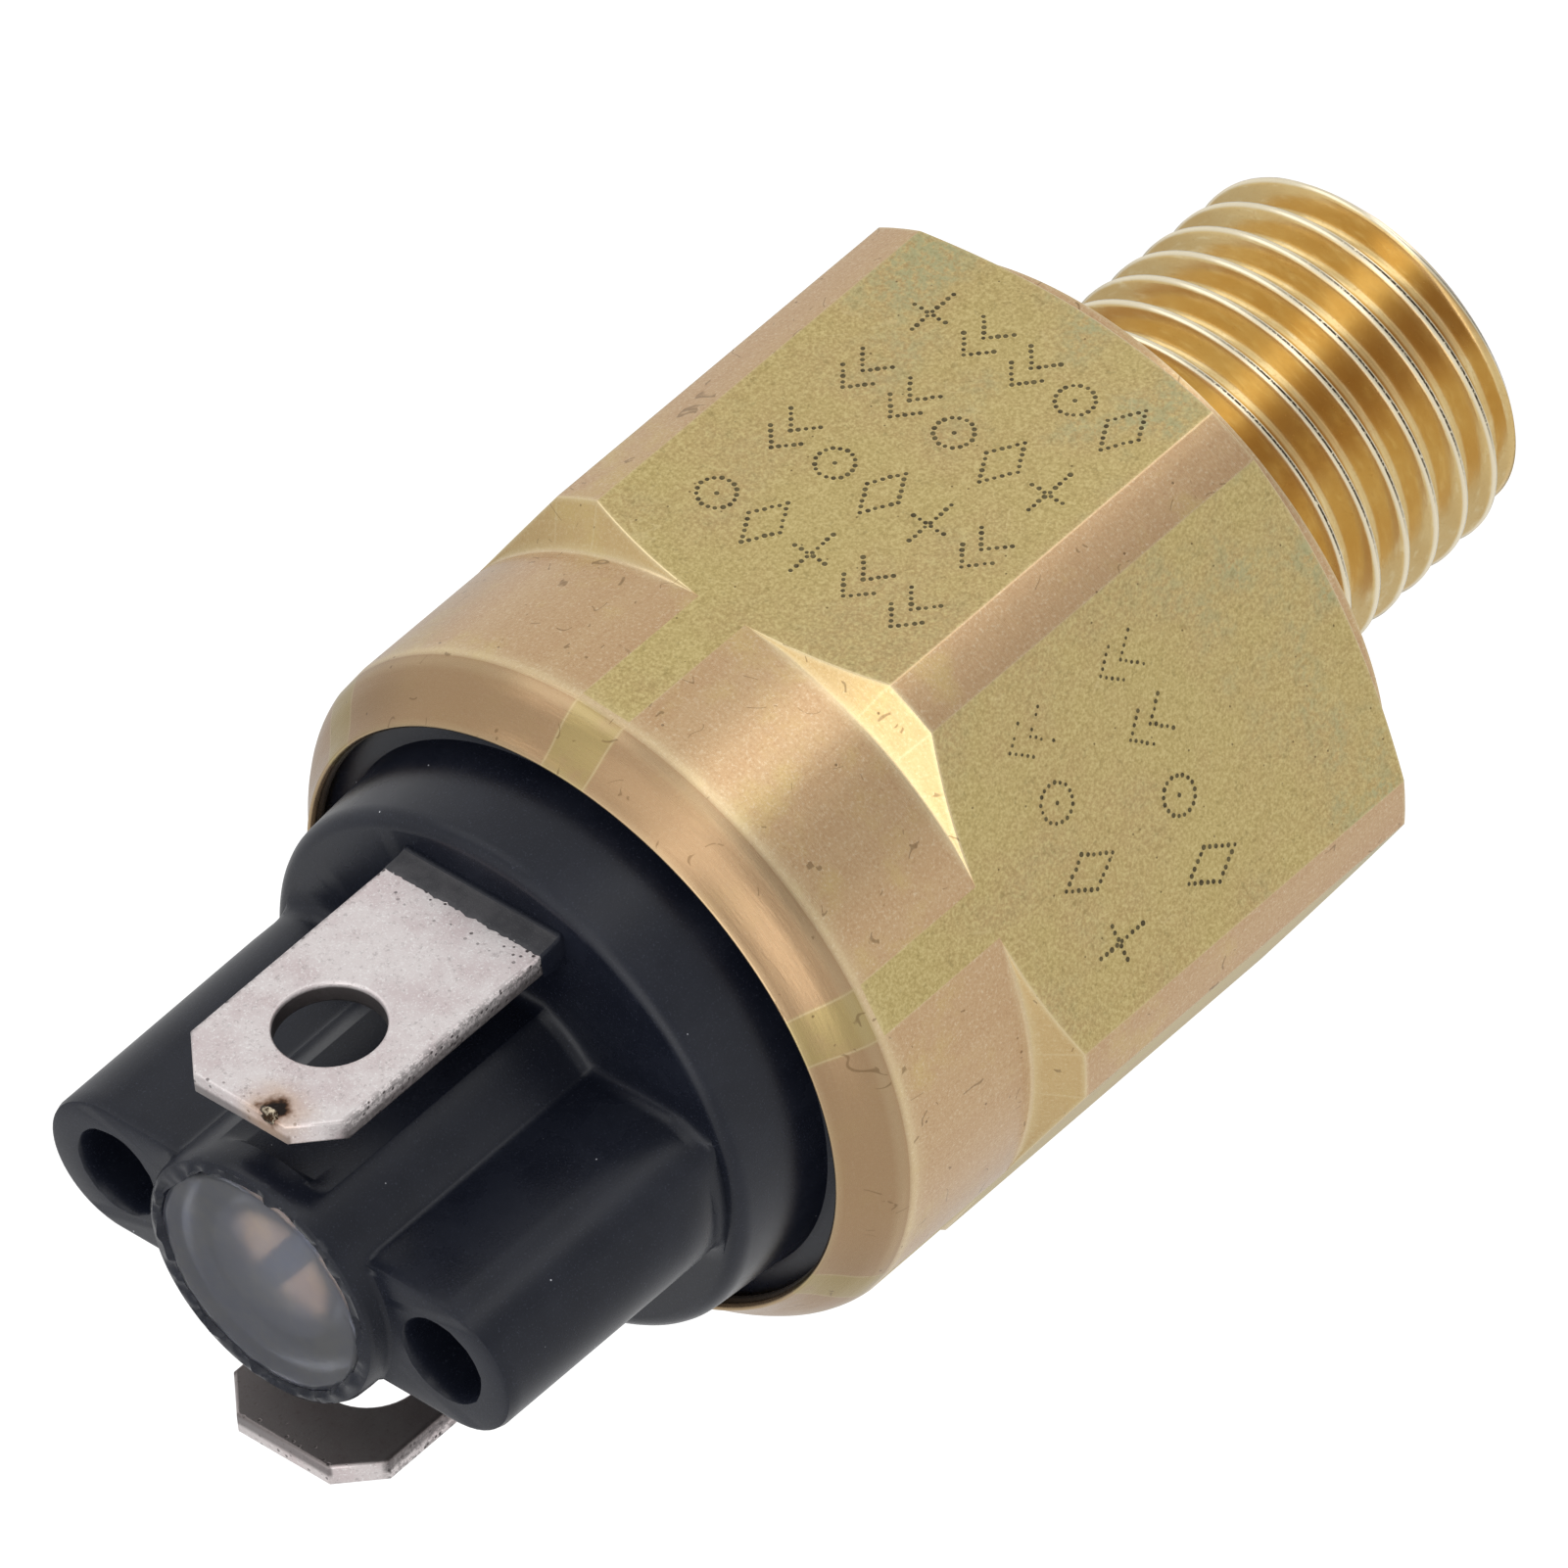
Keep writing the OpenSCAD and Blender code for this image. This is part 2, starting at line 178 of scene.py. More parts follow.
def sector_angles():
    """Angles round the hexagon from a flat's middle, close together at every edge."""
    flat_edge = degrees(acos(ACROSS_FLATS / 2 / CORNER_R))
    strip_edge = degrees(acos(ACROSS_FLATS / 2 / COLLAR_R))
    near = 0.3
    half = (
        spread(0, strip_edge - near, 3)
        + [strip_edge - near, strip_edge, strip_edge + near]
        + spread(strip_edge + 1, flat_edge - near, 21)
        + [flat_edge - near, flat_edge, flat_edge + near]
        + spread(flat_edge + 1, 30, 3)
    )
    return [-a for a in reversed(half[1:])] + half + [30.0]


def crest_distance(z, angle):
    """Distance along the axis from the nearest crest of a right-hand thread."""
    turn = (angle - CREST_ANGLE) / tau
    return abs((z - CREST_Z - THREAD_PITCH * turn + THREAD_PITCH / 2) % THREAD_PITCH - THREAD_PITCH / 2)


def thread_depth_at(z, angle):
    """How far the thread's surface lies below its crest."""
    away = crest_distance(z, angle)
    crest_half, root_half = 0.07, 0.13
    share = (away - crest_half) / (THREAD_PITCH / 2 - crest_half - root_half)
    share = min(max(share, 0.0), 1.0)
    eased = share * share * (3 - 2 * share)
    runout = min(max((z - RELIEF_Z + 0.45) / 0.45, 0.0), 1.0)
    return THREAD_DEPTH * max(0.65 * share + 0.35 * eased, runout)


def thread_radius(z, angle):
    """Radius of the stem's surface, with the chamfer at its end."""
    crest = CREST_R_AT_SHOULDER + z * THREAD_TAPER
    return min(crest - thread_depth_at(z, angle), STEM_END_R + (z - STEM_END))


def body_profile(angle_in_sector):
    """The body's outline from the relief up to the lip and down inside, at one angle."""
    flat_r = ACROSS_FLATS / 2 / cos(angle_in_sector)
    side_r = min(flat_r, CORNER_R)
    collar_r = min(flat_r, COLLAR_R)
    slope = (COLLAR_Z - HEX_TOP) / (CORNER_R - COLLAR_R)
    low_z = FACE_H + (LOW_CHAMFER_TOP - FACE_H) * (side_r - FACE_R) / (CORNER_R - FACE_R)
    edge_z = min(HEX_TOP + (CORNER_R - side_r) * slope, COLLAR_Z)
    root_r = thread_radius(RELIEF_Z, 0)
    outside = softened([
        (root_r, RELIEF_Z, 0), (root_r + 0.05, -0.02, 0.1, 0),
        (FACE_R, 0, 0.05, 1), (FACE_R, FACE_H, 0.04, 1),
        # Each corner's last number is its edge wear together with a painted highlight; the 0.7 at the
        # collar's top edge paints a highlight line.
        (side_r, low_z, 0.05, 1), (side_r, edge_z, 0.06, 1), (collar_r, COLLAR_Z, 0.12, 0.8),
        (collar_r, ROLL_Z, 0.2, 0.7), (min(11.9, flat_r), 22.5, 0.22, 0.2), (11.55, 23.0, 0.2, 0),
        (10.95, 23.62, 0.3, 0), (LIP_R + 0.3, LIP_TOP - 0.22, 0.14, 0.4),
        (LIP_R + 0.14, LIP_TOP - 0.4, 0.06, 0),
        (LIP_R + 0.1, 23.6, 0),
    ])
    inside = [
        (SEAT_R, 23.32), (SEAT_R, 17.5), (CHAMBER_R, 17.5), (CHAMBER_R, 6.6), (6.6, 6.6), (6.6, 5.4),
        (BORE_R, 3.6), (BORE_R, STEM_END + 0.4), (BORE_R + 0.4, STEM_END), (STEM_END_R - 0.1, STEM_END),
    ]
    return outside + [(r, z, 0.0) for r, z in inside]


def build_body_mesh(materials):
    """Rows of the thread follow its helix, so they join the last column a pitch further on."""
    angles = []
    for sector in range(6):
        for a in sector_angles()[:-1]:
            angles.append((FIRST_FLAT + radians(60 * sector + a), radians(a)))
    steps = [-0.5, -0.41, -0.33, -0.22, -0.12, -0.05, 0.0, 0.05, 0.12, 0.22, 0.33, 0.41]
    per_pitch = len(steps)
    turns = int(-STEM_END / THREAD_PITCH) + 3
    start = angles[0][0]
    flat_edge = acos(ACROSS_FLATS / 2 / CORNER_R)
    strip_edge = acos(ACROSS_FLATS / 2 / COLLAR_R)
    points, wear_and_highlight, columns, flatness = [], [], [], {}
    for angle, in_sector in angles:
        column = []
        lead = THREAD_PITCH * (angle - CREST_ANGLE) / tau
        first = CREST_Z - (turns - 1) * THREAD_PITCH - THREAD_PITCH * ((start - CREST_ANGLE) // tau)
        for turn in range(turns + 1):
            for step in steps:
                z = min(max(first + lead + (turn + step) * THREAD_PITCH, STEM_END), RELIEF_Z)
                r = thread_radius(z, angle)
                column.append(len(points))
                points.append(at(r, angle, z))
                # Thread crests are marked for pale crests: wear together with a painted highlight.
                wear_and_highlight.append(max(0.0, 1 - crest_distance(z, angle) / 0.17) if z < RELIEF_Z - 0.3 else 0.0)
        at_corner = abs(abs(in_sector) - flat_edge) < 1e-4
        at_strip = abs(abs(in_sector) - strip_edge) < 1e-4
        for r, z, corner_wear_and_highlight in body_profile(in_sector):
            column.append(len(points))
            points.append(at(r, angle, z))
            # The hexagon's edges and the strips' edges get 0.5: edge wear together with a painted highlight
            # line.
            on_corner = at_corner and FACE_H < z < COLLAR_Z
            on_strip = at_strip and z > COLLAR_Z + 0.2
            wear_and_highlight.append(max(corner_wear_and_highlight, 0.5 if on_corner or on_strip else 0.0))
            flatness[column[-1]] = abs(r * cos(in_sector) - ACROSS_FLATS / 2)
        columns.append(column)
    thread_rows = per_pitch * (turns + 1)
    total = len(columns[0])
    inner_rows = 12
    faces, indices = [], []
    for c, column in enumerate(columns):
        other = columns[(c + 1) % len(columns)]
        wraps = c == len(columns) - 1
        for row in range(total):
            after = (row + 1) % total
            if row < thread_rows - 1:
                shift = per_pitch if wraps else 0
                if after + shift >= thread_rows:
                    continue
                face = (column[row], other[row + shift], other[after + shift], column[after])
            else:
                face = (column[row], other[row], other[after], column[after])
            milled = row < total - inner_rows and all(flatness.get(v, 1.0) < 0.004 for v in face)
            faces.append(face)
            indices.append(0 if milled else (2 if row < thread_rows else 1))
    return make_piece("hexagon_body", points, faces, materials, indices, wear_and_highlight)


class Level:
    """A value in a shader. Arithmetic on it adds the node that works it out."""

    def __init__(self, socket):
        self.socket = socket
        self.tree = socket.id_data

    def step(self, operation, first, second=0.0):
        return Level(put(self.tree, "Math", operation=operation, in_0=first, in_1=second).outputs[0])

    def __add__(self, other):
        return self.step("ADD", self, other)

    def __sub__(self, other):
        return self.step("SUBTRACT", self, other)

    def __rsub__(self, other):
        return self.step("SUBTRACT", other, self)

    def __mul__(self, other):
        return self.step("MULTIPLY", self, other)

    def __truediv__(self, other):
        return self.step("DIVIDE", self, other)

    def __rtruediv__(self, other):
        return self.step("DIVIDE", other, self)

    def __abs__(self):
        return self.step("ABSOLUTE", self)

    def ramp(self, low, high):
        """The value eased so that low gives 0 and high gives 1."""
        node = put(self.tree, "MapRange", interpolation_type="SMOOTHSTEP", in_0=self, in_1=low, in_2=high)
        return Level(node.outputs[0])

    def mix(self, first, second):
        """A colour: first where the value is 0, second where it is 1."""
        first, second = (srgb(*c) if isinstance(c, tuple) else c for c in (first, second))
        return Level(put(self.tree, "Mix", data_type="RGBA", in_0=self, in_6=first, in_7=second).outputs[2])


def new_group(name, inputs, outputs):
    """A shader node group of plain values: its tree, its inputs as levels and its output node."""
    tree = bpy.data.node_groups.new(name, "ShaderNodeTree")
    for label, value in inputs.items():
        socket = tree.interface.new_socket(label, in_out="INPUT", socket_type="NodeSocketFloat")
        socket.default_value = value
    for label in outputs:
        tree.interface.new_socket(label, in_out="OUTPUT", socket_type="NodeSocketFloat")
    given = tree.nodes.new("NodeGroupInput")
    return tree, [Level(given.outputs[label]) for label in inputs], tree.nodes.new("NodeGroupOutput")


def put(tree, kind, **settings):
    """Adds a node. A setting is an input's value or the level to link to it, else a property."""
    node = tree.nodes.new("ShaderNode" + kind)
    for key, value in settings.items():
        if not key.startswith("in_"):
            setattr(node, key, value)
            continue
        name = key[3:]
        join(value, node.inputs[int(name) if name.isdigit() else name])
    return node


def join(value, socket):
    """Links a level to a socket, or sets the socket to a plain value."""
    if isinstance(value, Level):
        value.tree.links.new(value.socket, socket)
    else:
        socket.default_value = value


def place_millimetres(tree, stretch=(1, 1, 1)):
    """Object coordinates in millimetres, stretched along each axis."""
    coords = Level(put(tree, "TexCoord").outputs["Object"])
    scale = tuple(1000 * s for s in stretch)
    return Level(put(tree, "VectorMath", operation="MULTIPLY", in_0=coords, in_1=scale).outputs[0])


def axes(tree, place=None):
    """The three coordinates of a place, or of the shaded point in millimetres."""
    return [Level(o) for o in put(tree, "SeparateXYZ", in_0=place or place_millimetres(tree)).outputs]


def noise_map(tree, stretch, scale, detail, roughness=0.5, distortion=0.0):
    """Noise over the object, round 0.5."""
    place = place_millimetres(tree, stretch)
    return Level(put(tree, "TexNoise", in_Vector=place, in_Scale=scale, in_Detail=detail,
                     in_Roughness=roughness, in_Distortion=distortion).outputs[0])


def edge_wear_and_highlight(tree):
    """Edge wear together with painted highlight lines, as written on the mesh at its corners."""
    return Level(put(tree, "Attribute", attribute_name="wear_and_highlight").outputs["Fac"])


def use(tree, group, *values):
    """Places a group node with its own values, and gives its outputs as levels."""
    node = tree.nodes.new("ShaderNodeGroup")
    node.node_tree = group
    for value, socket in zip(values, node.inputs):
        socket.default_value = value
    return [Level(o) for o in node.outputs]


EVEN = (1, 1, 1)


def cloud_group():
    """Soft blotches and a fine grain, as masks round 0.5."""
    tree, (blotch_size, grain_size), out = new_group(
        "clouds_and_grain", {"Blotch Size": 3.0, "Grain Size": 0.09}, ["Blotches", "Grain"])
    join(noise_map(tree, EVEN, 1.0 / blotch_size, 4.0, 0.6), out.inputs["Blotches"])
    join(noise_map(tree, EVEN, 1.0 / grain_size, 3.0, 0.7), out.inputs["Grain"])
    return tree


def turning_group():
    """Lathe marks: fine lines round the axis, slightly uneven, and upright streaks."""
    tree, [density], out = new_group("turning_marks", {"Lines per mm": 14.0}, ["Lines", "Streaks"])
    join(noise_map(tree, (0.12, 0.12, 1.0), density, 3.0), out.inputs["Lines"])
    join(noise_map(tree, (1.0, 1.0, 0.04), 0.9, 5.0, 0.62), out.inputs["Streaks"])
    return tree


def pit_group():
    """Scattered small pits and specks, as a mask that is 1 in a pit."""
    tree, (spacing, size, share), out = new_group(
        "pits", {"Spacing": 0.9, "Size": 0.05, "Share": 0.4}, ["Pits"])
    cells = put(tree, "TexVoronoi", in_Vector=place_millimetres(tree), in_Scale=1.0 / spacing)
    inside = 1.0 - Level(cells.outputs["Distance"]) / (size / spacing)
    picked = Level(put(tree, "SeparateColor", in_0=Level(cells.outputs["Color"])).outputs[0])
    clipped = Level(put(tree, "Clamp", in_0=inside * 2.5).outputs[0])
    join(clipped * picked.step("LESS_THAN", picked, share), out.inputs["Pits"])
    return tree


def scratch_group():
    """Short thin curved scratches: level lines of a noise, kept in a few places only."""
    tree, (length, share), out = new_group("scratches", {"Length": 1.5, "Share": 0.6}, ["Scratches"])
    off_line = abs(noise_map(tree, EVEN, 1.0 / length, 1.0, distortion=0.6) - 0.5)
    where = noise_map(tree, (1.3, 1.3, 1.3), 0.9, 2.0)
    join(off_line.ramp(0.012, 0.004) * where.step("GREATER_THAN", where, share), out.inputs["Scratches"])
    return tree


CLOUDS, TURNING, PITS, SCRATCHES = cloud_group(), turning_group(), pit_group(), scratch_group()


def paint(colour, *layers):
    """Lays colours over each other. Each layer is a mask and its colour."""
    for mask, over in layers:
        colour = mask.mix(colour, over)
    return colour


def start_material(name, **settings):
    """A material whose Principled shader has its plain settings given by name."""
    material = bpy.data.materials.new(name)
    material.use_nodes = True
    tree = material.node_tree
    for key, value in settings.items():
        tree.nodes["Principled BSDF"].inputs[key.replace("_", " ")].default_value = value
    return material, tree


def feed(material, colour, height, depth, strength, rough=None):
    """Gives a material its colour, a bump whose depth is in millimetres, and its roughness."""
    tree = material.node_tree
    sockets = tree.nodes["Principled BSDF"].inputs
    bump = put(tree, "Bump", in_Height=height, in_Strength=strength, in_Distance=depth * MM)
    join(Level(bump.outputs[0]), sockets["Normal"])
    join(colour, sockets["Base Color"])
    if rough:
        join(rough, sockets["Roughness"])
    return material


def milled_flat_material():
    """Flats of the drawn bar: even greenish gold with a fine grain, pits and a pale edge, partly wear and
    partly a painted highlight.
    """
    material, tree = start_material("chromated_flat", Metallic=1.0, Roughness=0.45)
    blotches, grain = use(tree, CLOUDS, 4.5, 0.11)
    wide, coarse = use(tree, CLOUDS, 4.4, 0.3)
    [pits] = use(tree, PITS, 0.45, 0.045, 0.3)
    [scratched] = use(tree, SCRATCHES, 2.2, 0.62)
    low = axes(tree)[2].ramp(9.0, 1.0)
    patch = wide.ramp(0.46, 0.62) * (low + 0.2) * coarse.ramp(0.35, 0.6)
    colour = paint(
        blotches.ramp(0.35, 0.68).mix((196, 176, 118), (194, 166, 118)),
        (grain.ramp(0.42, 0.7), (216, 198, 142)),
        (patch * 0.75, (182, 180, 138)),
        (grain.ramp(0.5, 0.3) * 0.45, (160, 140, 90)),
        (coarse.ramp(0.58, 0.7) * 0.45, (150, 132, 84)),
        (scratched * 0.3, (224, 206, 156)),
        # Pale edges: edge wear together with a painted highlight line.
        (edge_wear_and_highlight(tree) * 0.35, (240, 224, 176)),
        (pits * 0.7, (92, 74, 44)),
    )
    return feed(material, colour, grain - pits, 0.012, 0.6, grain * 0.22 + 0.3)


def turned_material():
    """Turned surfaces: pinkish gold with lathe marks and upright stains, a painted highlight on the
    chamfer, bright corners that are partly wear and partly painted highlight, and a lip painted darker as
    painted shade to tone down its highlight.
    """
    material, tree = start_material("chromated_turned", Metallic=1.0, Roughness=0.33)
    blotches, grain = use(tree, CLOUDS, 2.6, 0.1)
    lines, streaks = use(tree, TURNING, 11.0)
    [pits] = use(tree, PITS, 0.8, 0.06, 0.35)
    [scratched] = use(tree, SCRATCHES, 1.6, 0.6)
    x, y, z = axes(tree)
    chamfer = z.ramp(HEX_TOP - 0.02, HEX_TOP + 0.04) * z.ramp(COLLAR_Z + 0.02, COLLAR_Z - 0.06)
    turn = x.step("ARCTAN2", y, x) - FIRST_FLAT
    strips = turn.step("COSINE", turn * 6.0).ramp(0.86, 0.93)
    rolled = z.ramp(ROLL_Z, ROLL_Z + 0.25)
    colour = paint(
        streaks.ramp(0.3, 0.75).mix((206, 174, 134), (200, 165, 126)),
        (blotches.ramp(0.5, 0.72), (210, 182, 130)),
        (grain.ramp(0.5, 0.75), (224, 200, 166)),
        (grain.ramp(0.46, 0.3) * 0.4, (170, 132, 96)),
        # Painted highlight: the chamfer between hexagon and collar is painted a lighter yellow.
        (chamfer * 0.35, (226, 202, 132)),
        # Painted shade: the rolled lip is painted darker to tone down the highlight it catches.
        (rolled * 0.85, (168, 138, 105)),
        (strips * rolled * blotches.ramp(0.2, 0.45) * 0.6, (176, 160, 102)),
        # Bright corners: edge wear together with a painted highlight line.
        (edge_wear_and_highlight(tree) * 0.5, (244, 230, 188)),
        (scratched * 0.55, (118, 92, 62)),
        (pits * 0.65, (96, 72, 48)),
    )
    return feed(material, colour, lines + grain * 0.4 - pits * 0.8, 0.01, 0.55, lines * 0.16 + 0.19)


def thread_material():
    """The stem: deeper gold with a painted darker reflection down one side, and pale crests that are partly
    wear and partly painted highlight, their tops painted dark as a reflection on that side.
    """
    material, tree = start_material("chromated_thread", Metallic=1.0, Roughness=0.3)
    blotches, grain = use(tree, CLOUDS, 3.2, 0.09)
    lines, streaks = use(tree, TURNING, 9.0)
    x, y, z = axes(tree)
    side = abs(x.step("ARCTAN2", y, x) - radians(44))
    edge = edge_wear_and_highlight(tree)
    # Painted reflection: the side near 44 degrees is painted darker brown, broken by upright streaks.
    painted_darker_side = side.ramp(0.36, 0.08) * streaks.ramp(0.3, 0.6)
    # Painted reflection: the crest tops on that side are painted dark.
    painted_dark_crest_reflection = edge.ramp(0.66, 0.9) * side.ramp(0.85, 0.35) * grain.ramp(0.3, 0.5)
    colour = paint(
        blotches.ramp(0.3, 0.7).mix((228, 201, 144), (222, 190, 128)),
        (lines.ramp(0.5, 0.75), (236, 214, 164)),
        (grain.ramp(0.55, 0.75), (206, 170, 108)),
        # Painted darker reflection down that side.
        (painted_darker_side * 0.6, (192, 152, 98)),
        # Pale crests: wear together with a painted highlight.
        (edge.ramp(0.15, 0.5), (246, 234, 204)),
        # Painted dark reflection on the crest tops.
        (painted_dark_crest_reflection, (52, 38, 24)),
    )
    return feed(material, colour, lines, 0.012, 0.5, grain * 0.18 + 0.15)


body = build_body_mesh([milled_flat_material(), turned_material(), thread_material()])
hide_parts("hex_body")
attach(body, "housing")


# ------------------------------------------------------------
# Peened marks. Small craters that a dot peening pin leaves on two of the flats after
# plating, each with a raised burr. They only draw diamonds, rings, crosses and chevrons.
DOT_R = 0.07
DOT_GAP = 0.225
MARK_BLOCKS = [
    {"flat": 1, "rows": [3.5, 6.85, 10.1, 13.3], "cells": [-4.3, -2.4, -0.5, 1.4, 3.3], "fade": 0.0},
    {"flat": 0, "rows": [8.8, 12.9], "cells": [-3.7, -1.2, 1.3, 3.6], "fade": 0.75},
]


def dotted(corners):
    """Places at even steps along a line of corners, in millimetres."""
    places = [corners[0]]
    for (x0, z0), (x1, z1) in zip(corners, corners[1:]):
        count = max(1, round(hypot(x1 - x0, z1 - z0) / DOT_GAP))
        places += [(x0 + (x1 - x0) * i / count, z0 + (z1 - z0) * i / count) for i in range(1, count + 1)]
    return places


def mark_outline(kind):
    """Dot places of one mark from its middle: a diamond, two chevrons, a ring or a cross."""
    if kind == "diamond":
        return dotted([(0, 1.05), (0.62, 0), (0, -1.05), (-0.62, 0), (0, 1.05)])[1:]
    if kind == "chevrons":
        upper = dotted([(-0.6, 0.05), (0, 0.75), (0.6, 0.05)])
        return upper + dotted([(-0.6, -0.85), (0, -0.15), (0.6, -0.85)])
    if kind == "ring":
        turns = spread(0, tau, 17)
        return [(0.62 * cos(a), 0.62 * sin(a)) for a in turns] + [(0, 0)]
    return dotted([(0, 0.95), (0, -0.95)]) + dotted([(-0.6, 0.1), (0.6, 0.1)])


def add_crater(points, faces, indices, centre, across, up, out, size):
    """One crater: burr ring outside, dark dish inside, just proud of the flat."""
    rings = [(1.5, 0.0), (1.15, 0.014), (0.85, 0.008), (0.4, 0.003)]
    count = 10
    base = len(points)
    for reach, lift in rings:
        for i in range(count):
            a = tau * i / count
            p = centre + across * (size * reach * cos(a)) + up * (size * reach * sin(a))
            points.append(tuple(p + out * lift))
    for k in range(len(rings) - 1):
        for i in range(count):
            j = (i + 1) % count
            faces.append((base + k * count + i, base + k * count + j,
                          base + (k + 1) * count + j, base + (k + 1) * count + i))
            indices.append(0 if k == 0 else 1)
    faces.append(tuple(base + (len(rings) - 1) * count + i for i in range(count)))
    indices.append(1)


def peened_marks(materials):
    """All the marks of both blocks in one piece, with dots missing where a block fades."""
    points, faces, indices = [], [], []
    kinds = ("diamond", "chevrons", "cross", "ring", "chevrons")
    for block in MARK_BLOCKS:
        angle = FIRST_FLAT + radians(60 * block["flat"])
        out = Vector((cos(angle), sin(angle), 0))
        across = Vector((-sin(angle), cos(angle), 0))
        up = Vector((0, 0, 1))
        for row, z in enumerate(block["rows"]):
            for cell, x in enumerate(block["cells"]):
                middle = out * (ACROSS_FLATS / 2 + 0.002) + across * x + up * z
                strength = 1 - block["fade"] * cell / len(block["cells"])
                for along, above in mark_outline(kinds[(2 * row + 3 * cell) % 5]):
                    place = Vector((4.3 * along + 7.3 * cell, 4.3 * above + 5.1 * row, 3.7 * block["flat"]))
                    shake = noise.noise_vector(place)
                    if shake.x > 0.9 * strength:
                        continue
                    centre = middle + across * (along + 0.03 * shake.x) + up * (above + 0.03 * shake.y)
                    size = DOT_R * (1 + 0.35 * shake.z) * (0.55 + 0.45 * strength)
                    add_crater(points, faces, indices, centre, across, up, out, size)
    return make_piece("peened_marks", points, faces, materials, indices)


def crater_material():
    """Bare, scorched metal in the bottom of a peened dot."""
    material, tree = start_material("peened_dot", Metallic=0.6, Roughness=0.6)
    blotches, grain = use(tree, CLOUDS, 0.3, 0.04)
    return feed(material, blotches.ramp(0.35, 0.7).mix((112, 100, 66), (74, 64, 42)), grain, 0.01, 0.6)


marks = peened_marks([milled_flat_material(), crater_material()])
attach(marks, "housing")


# ------------------------------------------------------------
# Moulded socket. Black glass-filled polyamide: the flange under the crimped lip, the round
# shoulder, the oblong block with two blind bosses, and the tube, whose rim is trimmed
# rough where the compound was poured.
SOCKET_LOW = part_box("socket_base")[0].z / MM
FLANGE_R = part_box("socket_base")[1].x / MM
FLANGE_Z = 18.1
FLANGE_TOP = 23.3
SHOULDER_WALL_R = 9.6
SHOULDER_TOP = 27.0
BLOCK_HALF_W = 2.5
BLOCK_END_X = 6.75
BLOCK_TOP = 37.15
TUBE_R = 4.5
TUBE_FLAT_Y = 4.0
TUBE_FLAT_TOP = 36.9
TUBE_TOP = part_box("socket_base")[1].z / MM
TUBE_BORE_R = 3.6
BOSS_X = 6.55
BOSS_HOLE_R = 1.475
BOSS_HOLE_L = 8.0


def block_reach(angle, grow):
    """Distance from the axis to the oblong block's wall, grown outwards by grow."""
    c, s = abs(cos(angle)), abs(sin(angle))
    half = BLOCK_HALF_W + grow
    if s * BLOCK_END_X >= c * half:
        return half / s
    return BLOCK_END_X * c + sqrt(half ** 2 - (BLOCK_END_X * s) ** 2)


def tube_reach(angle, grow, flat=True):
    """Distance from the axis to the tube's wall, with or without its two flats."""
    s = abs(sin(angle))
    if flat and s * (TUBE_R + grow) > TUBE_FLAT_Y + grow:
        return (TUBE_FLAT_Y + grow) / s
    return TUBE_R + grow


def joined_reach(angle, grow, blend=0.24, flat=True):
    """The outer of block and tube, with a fillet between them."""
    a, b = block_reach(angle, grow), tube_reach(angle, grow, flat)
    near = max(blend - abs(a - b), 0.0) / blend
    return max(a, b) + near * near * blend / 4


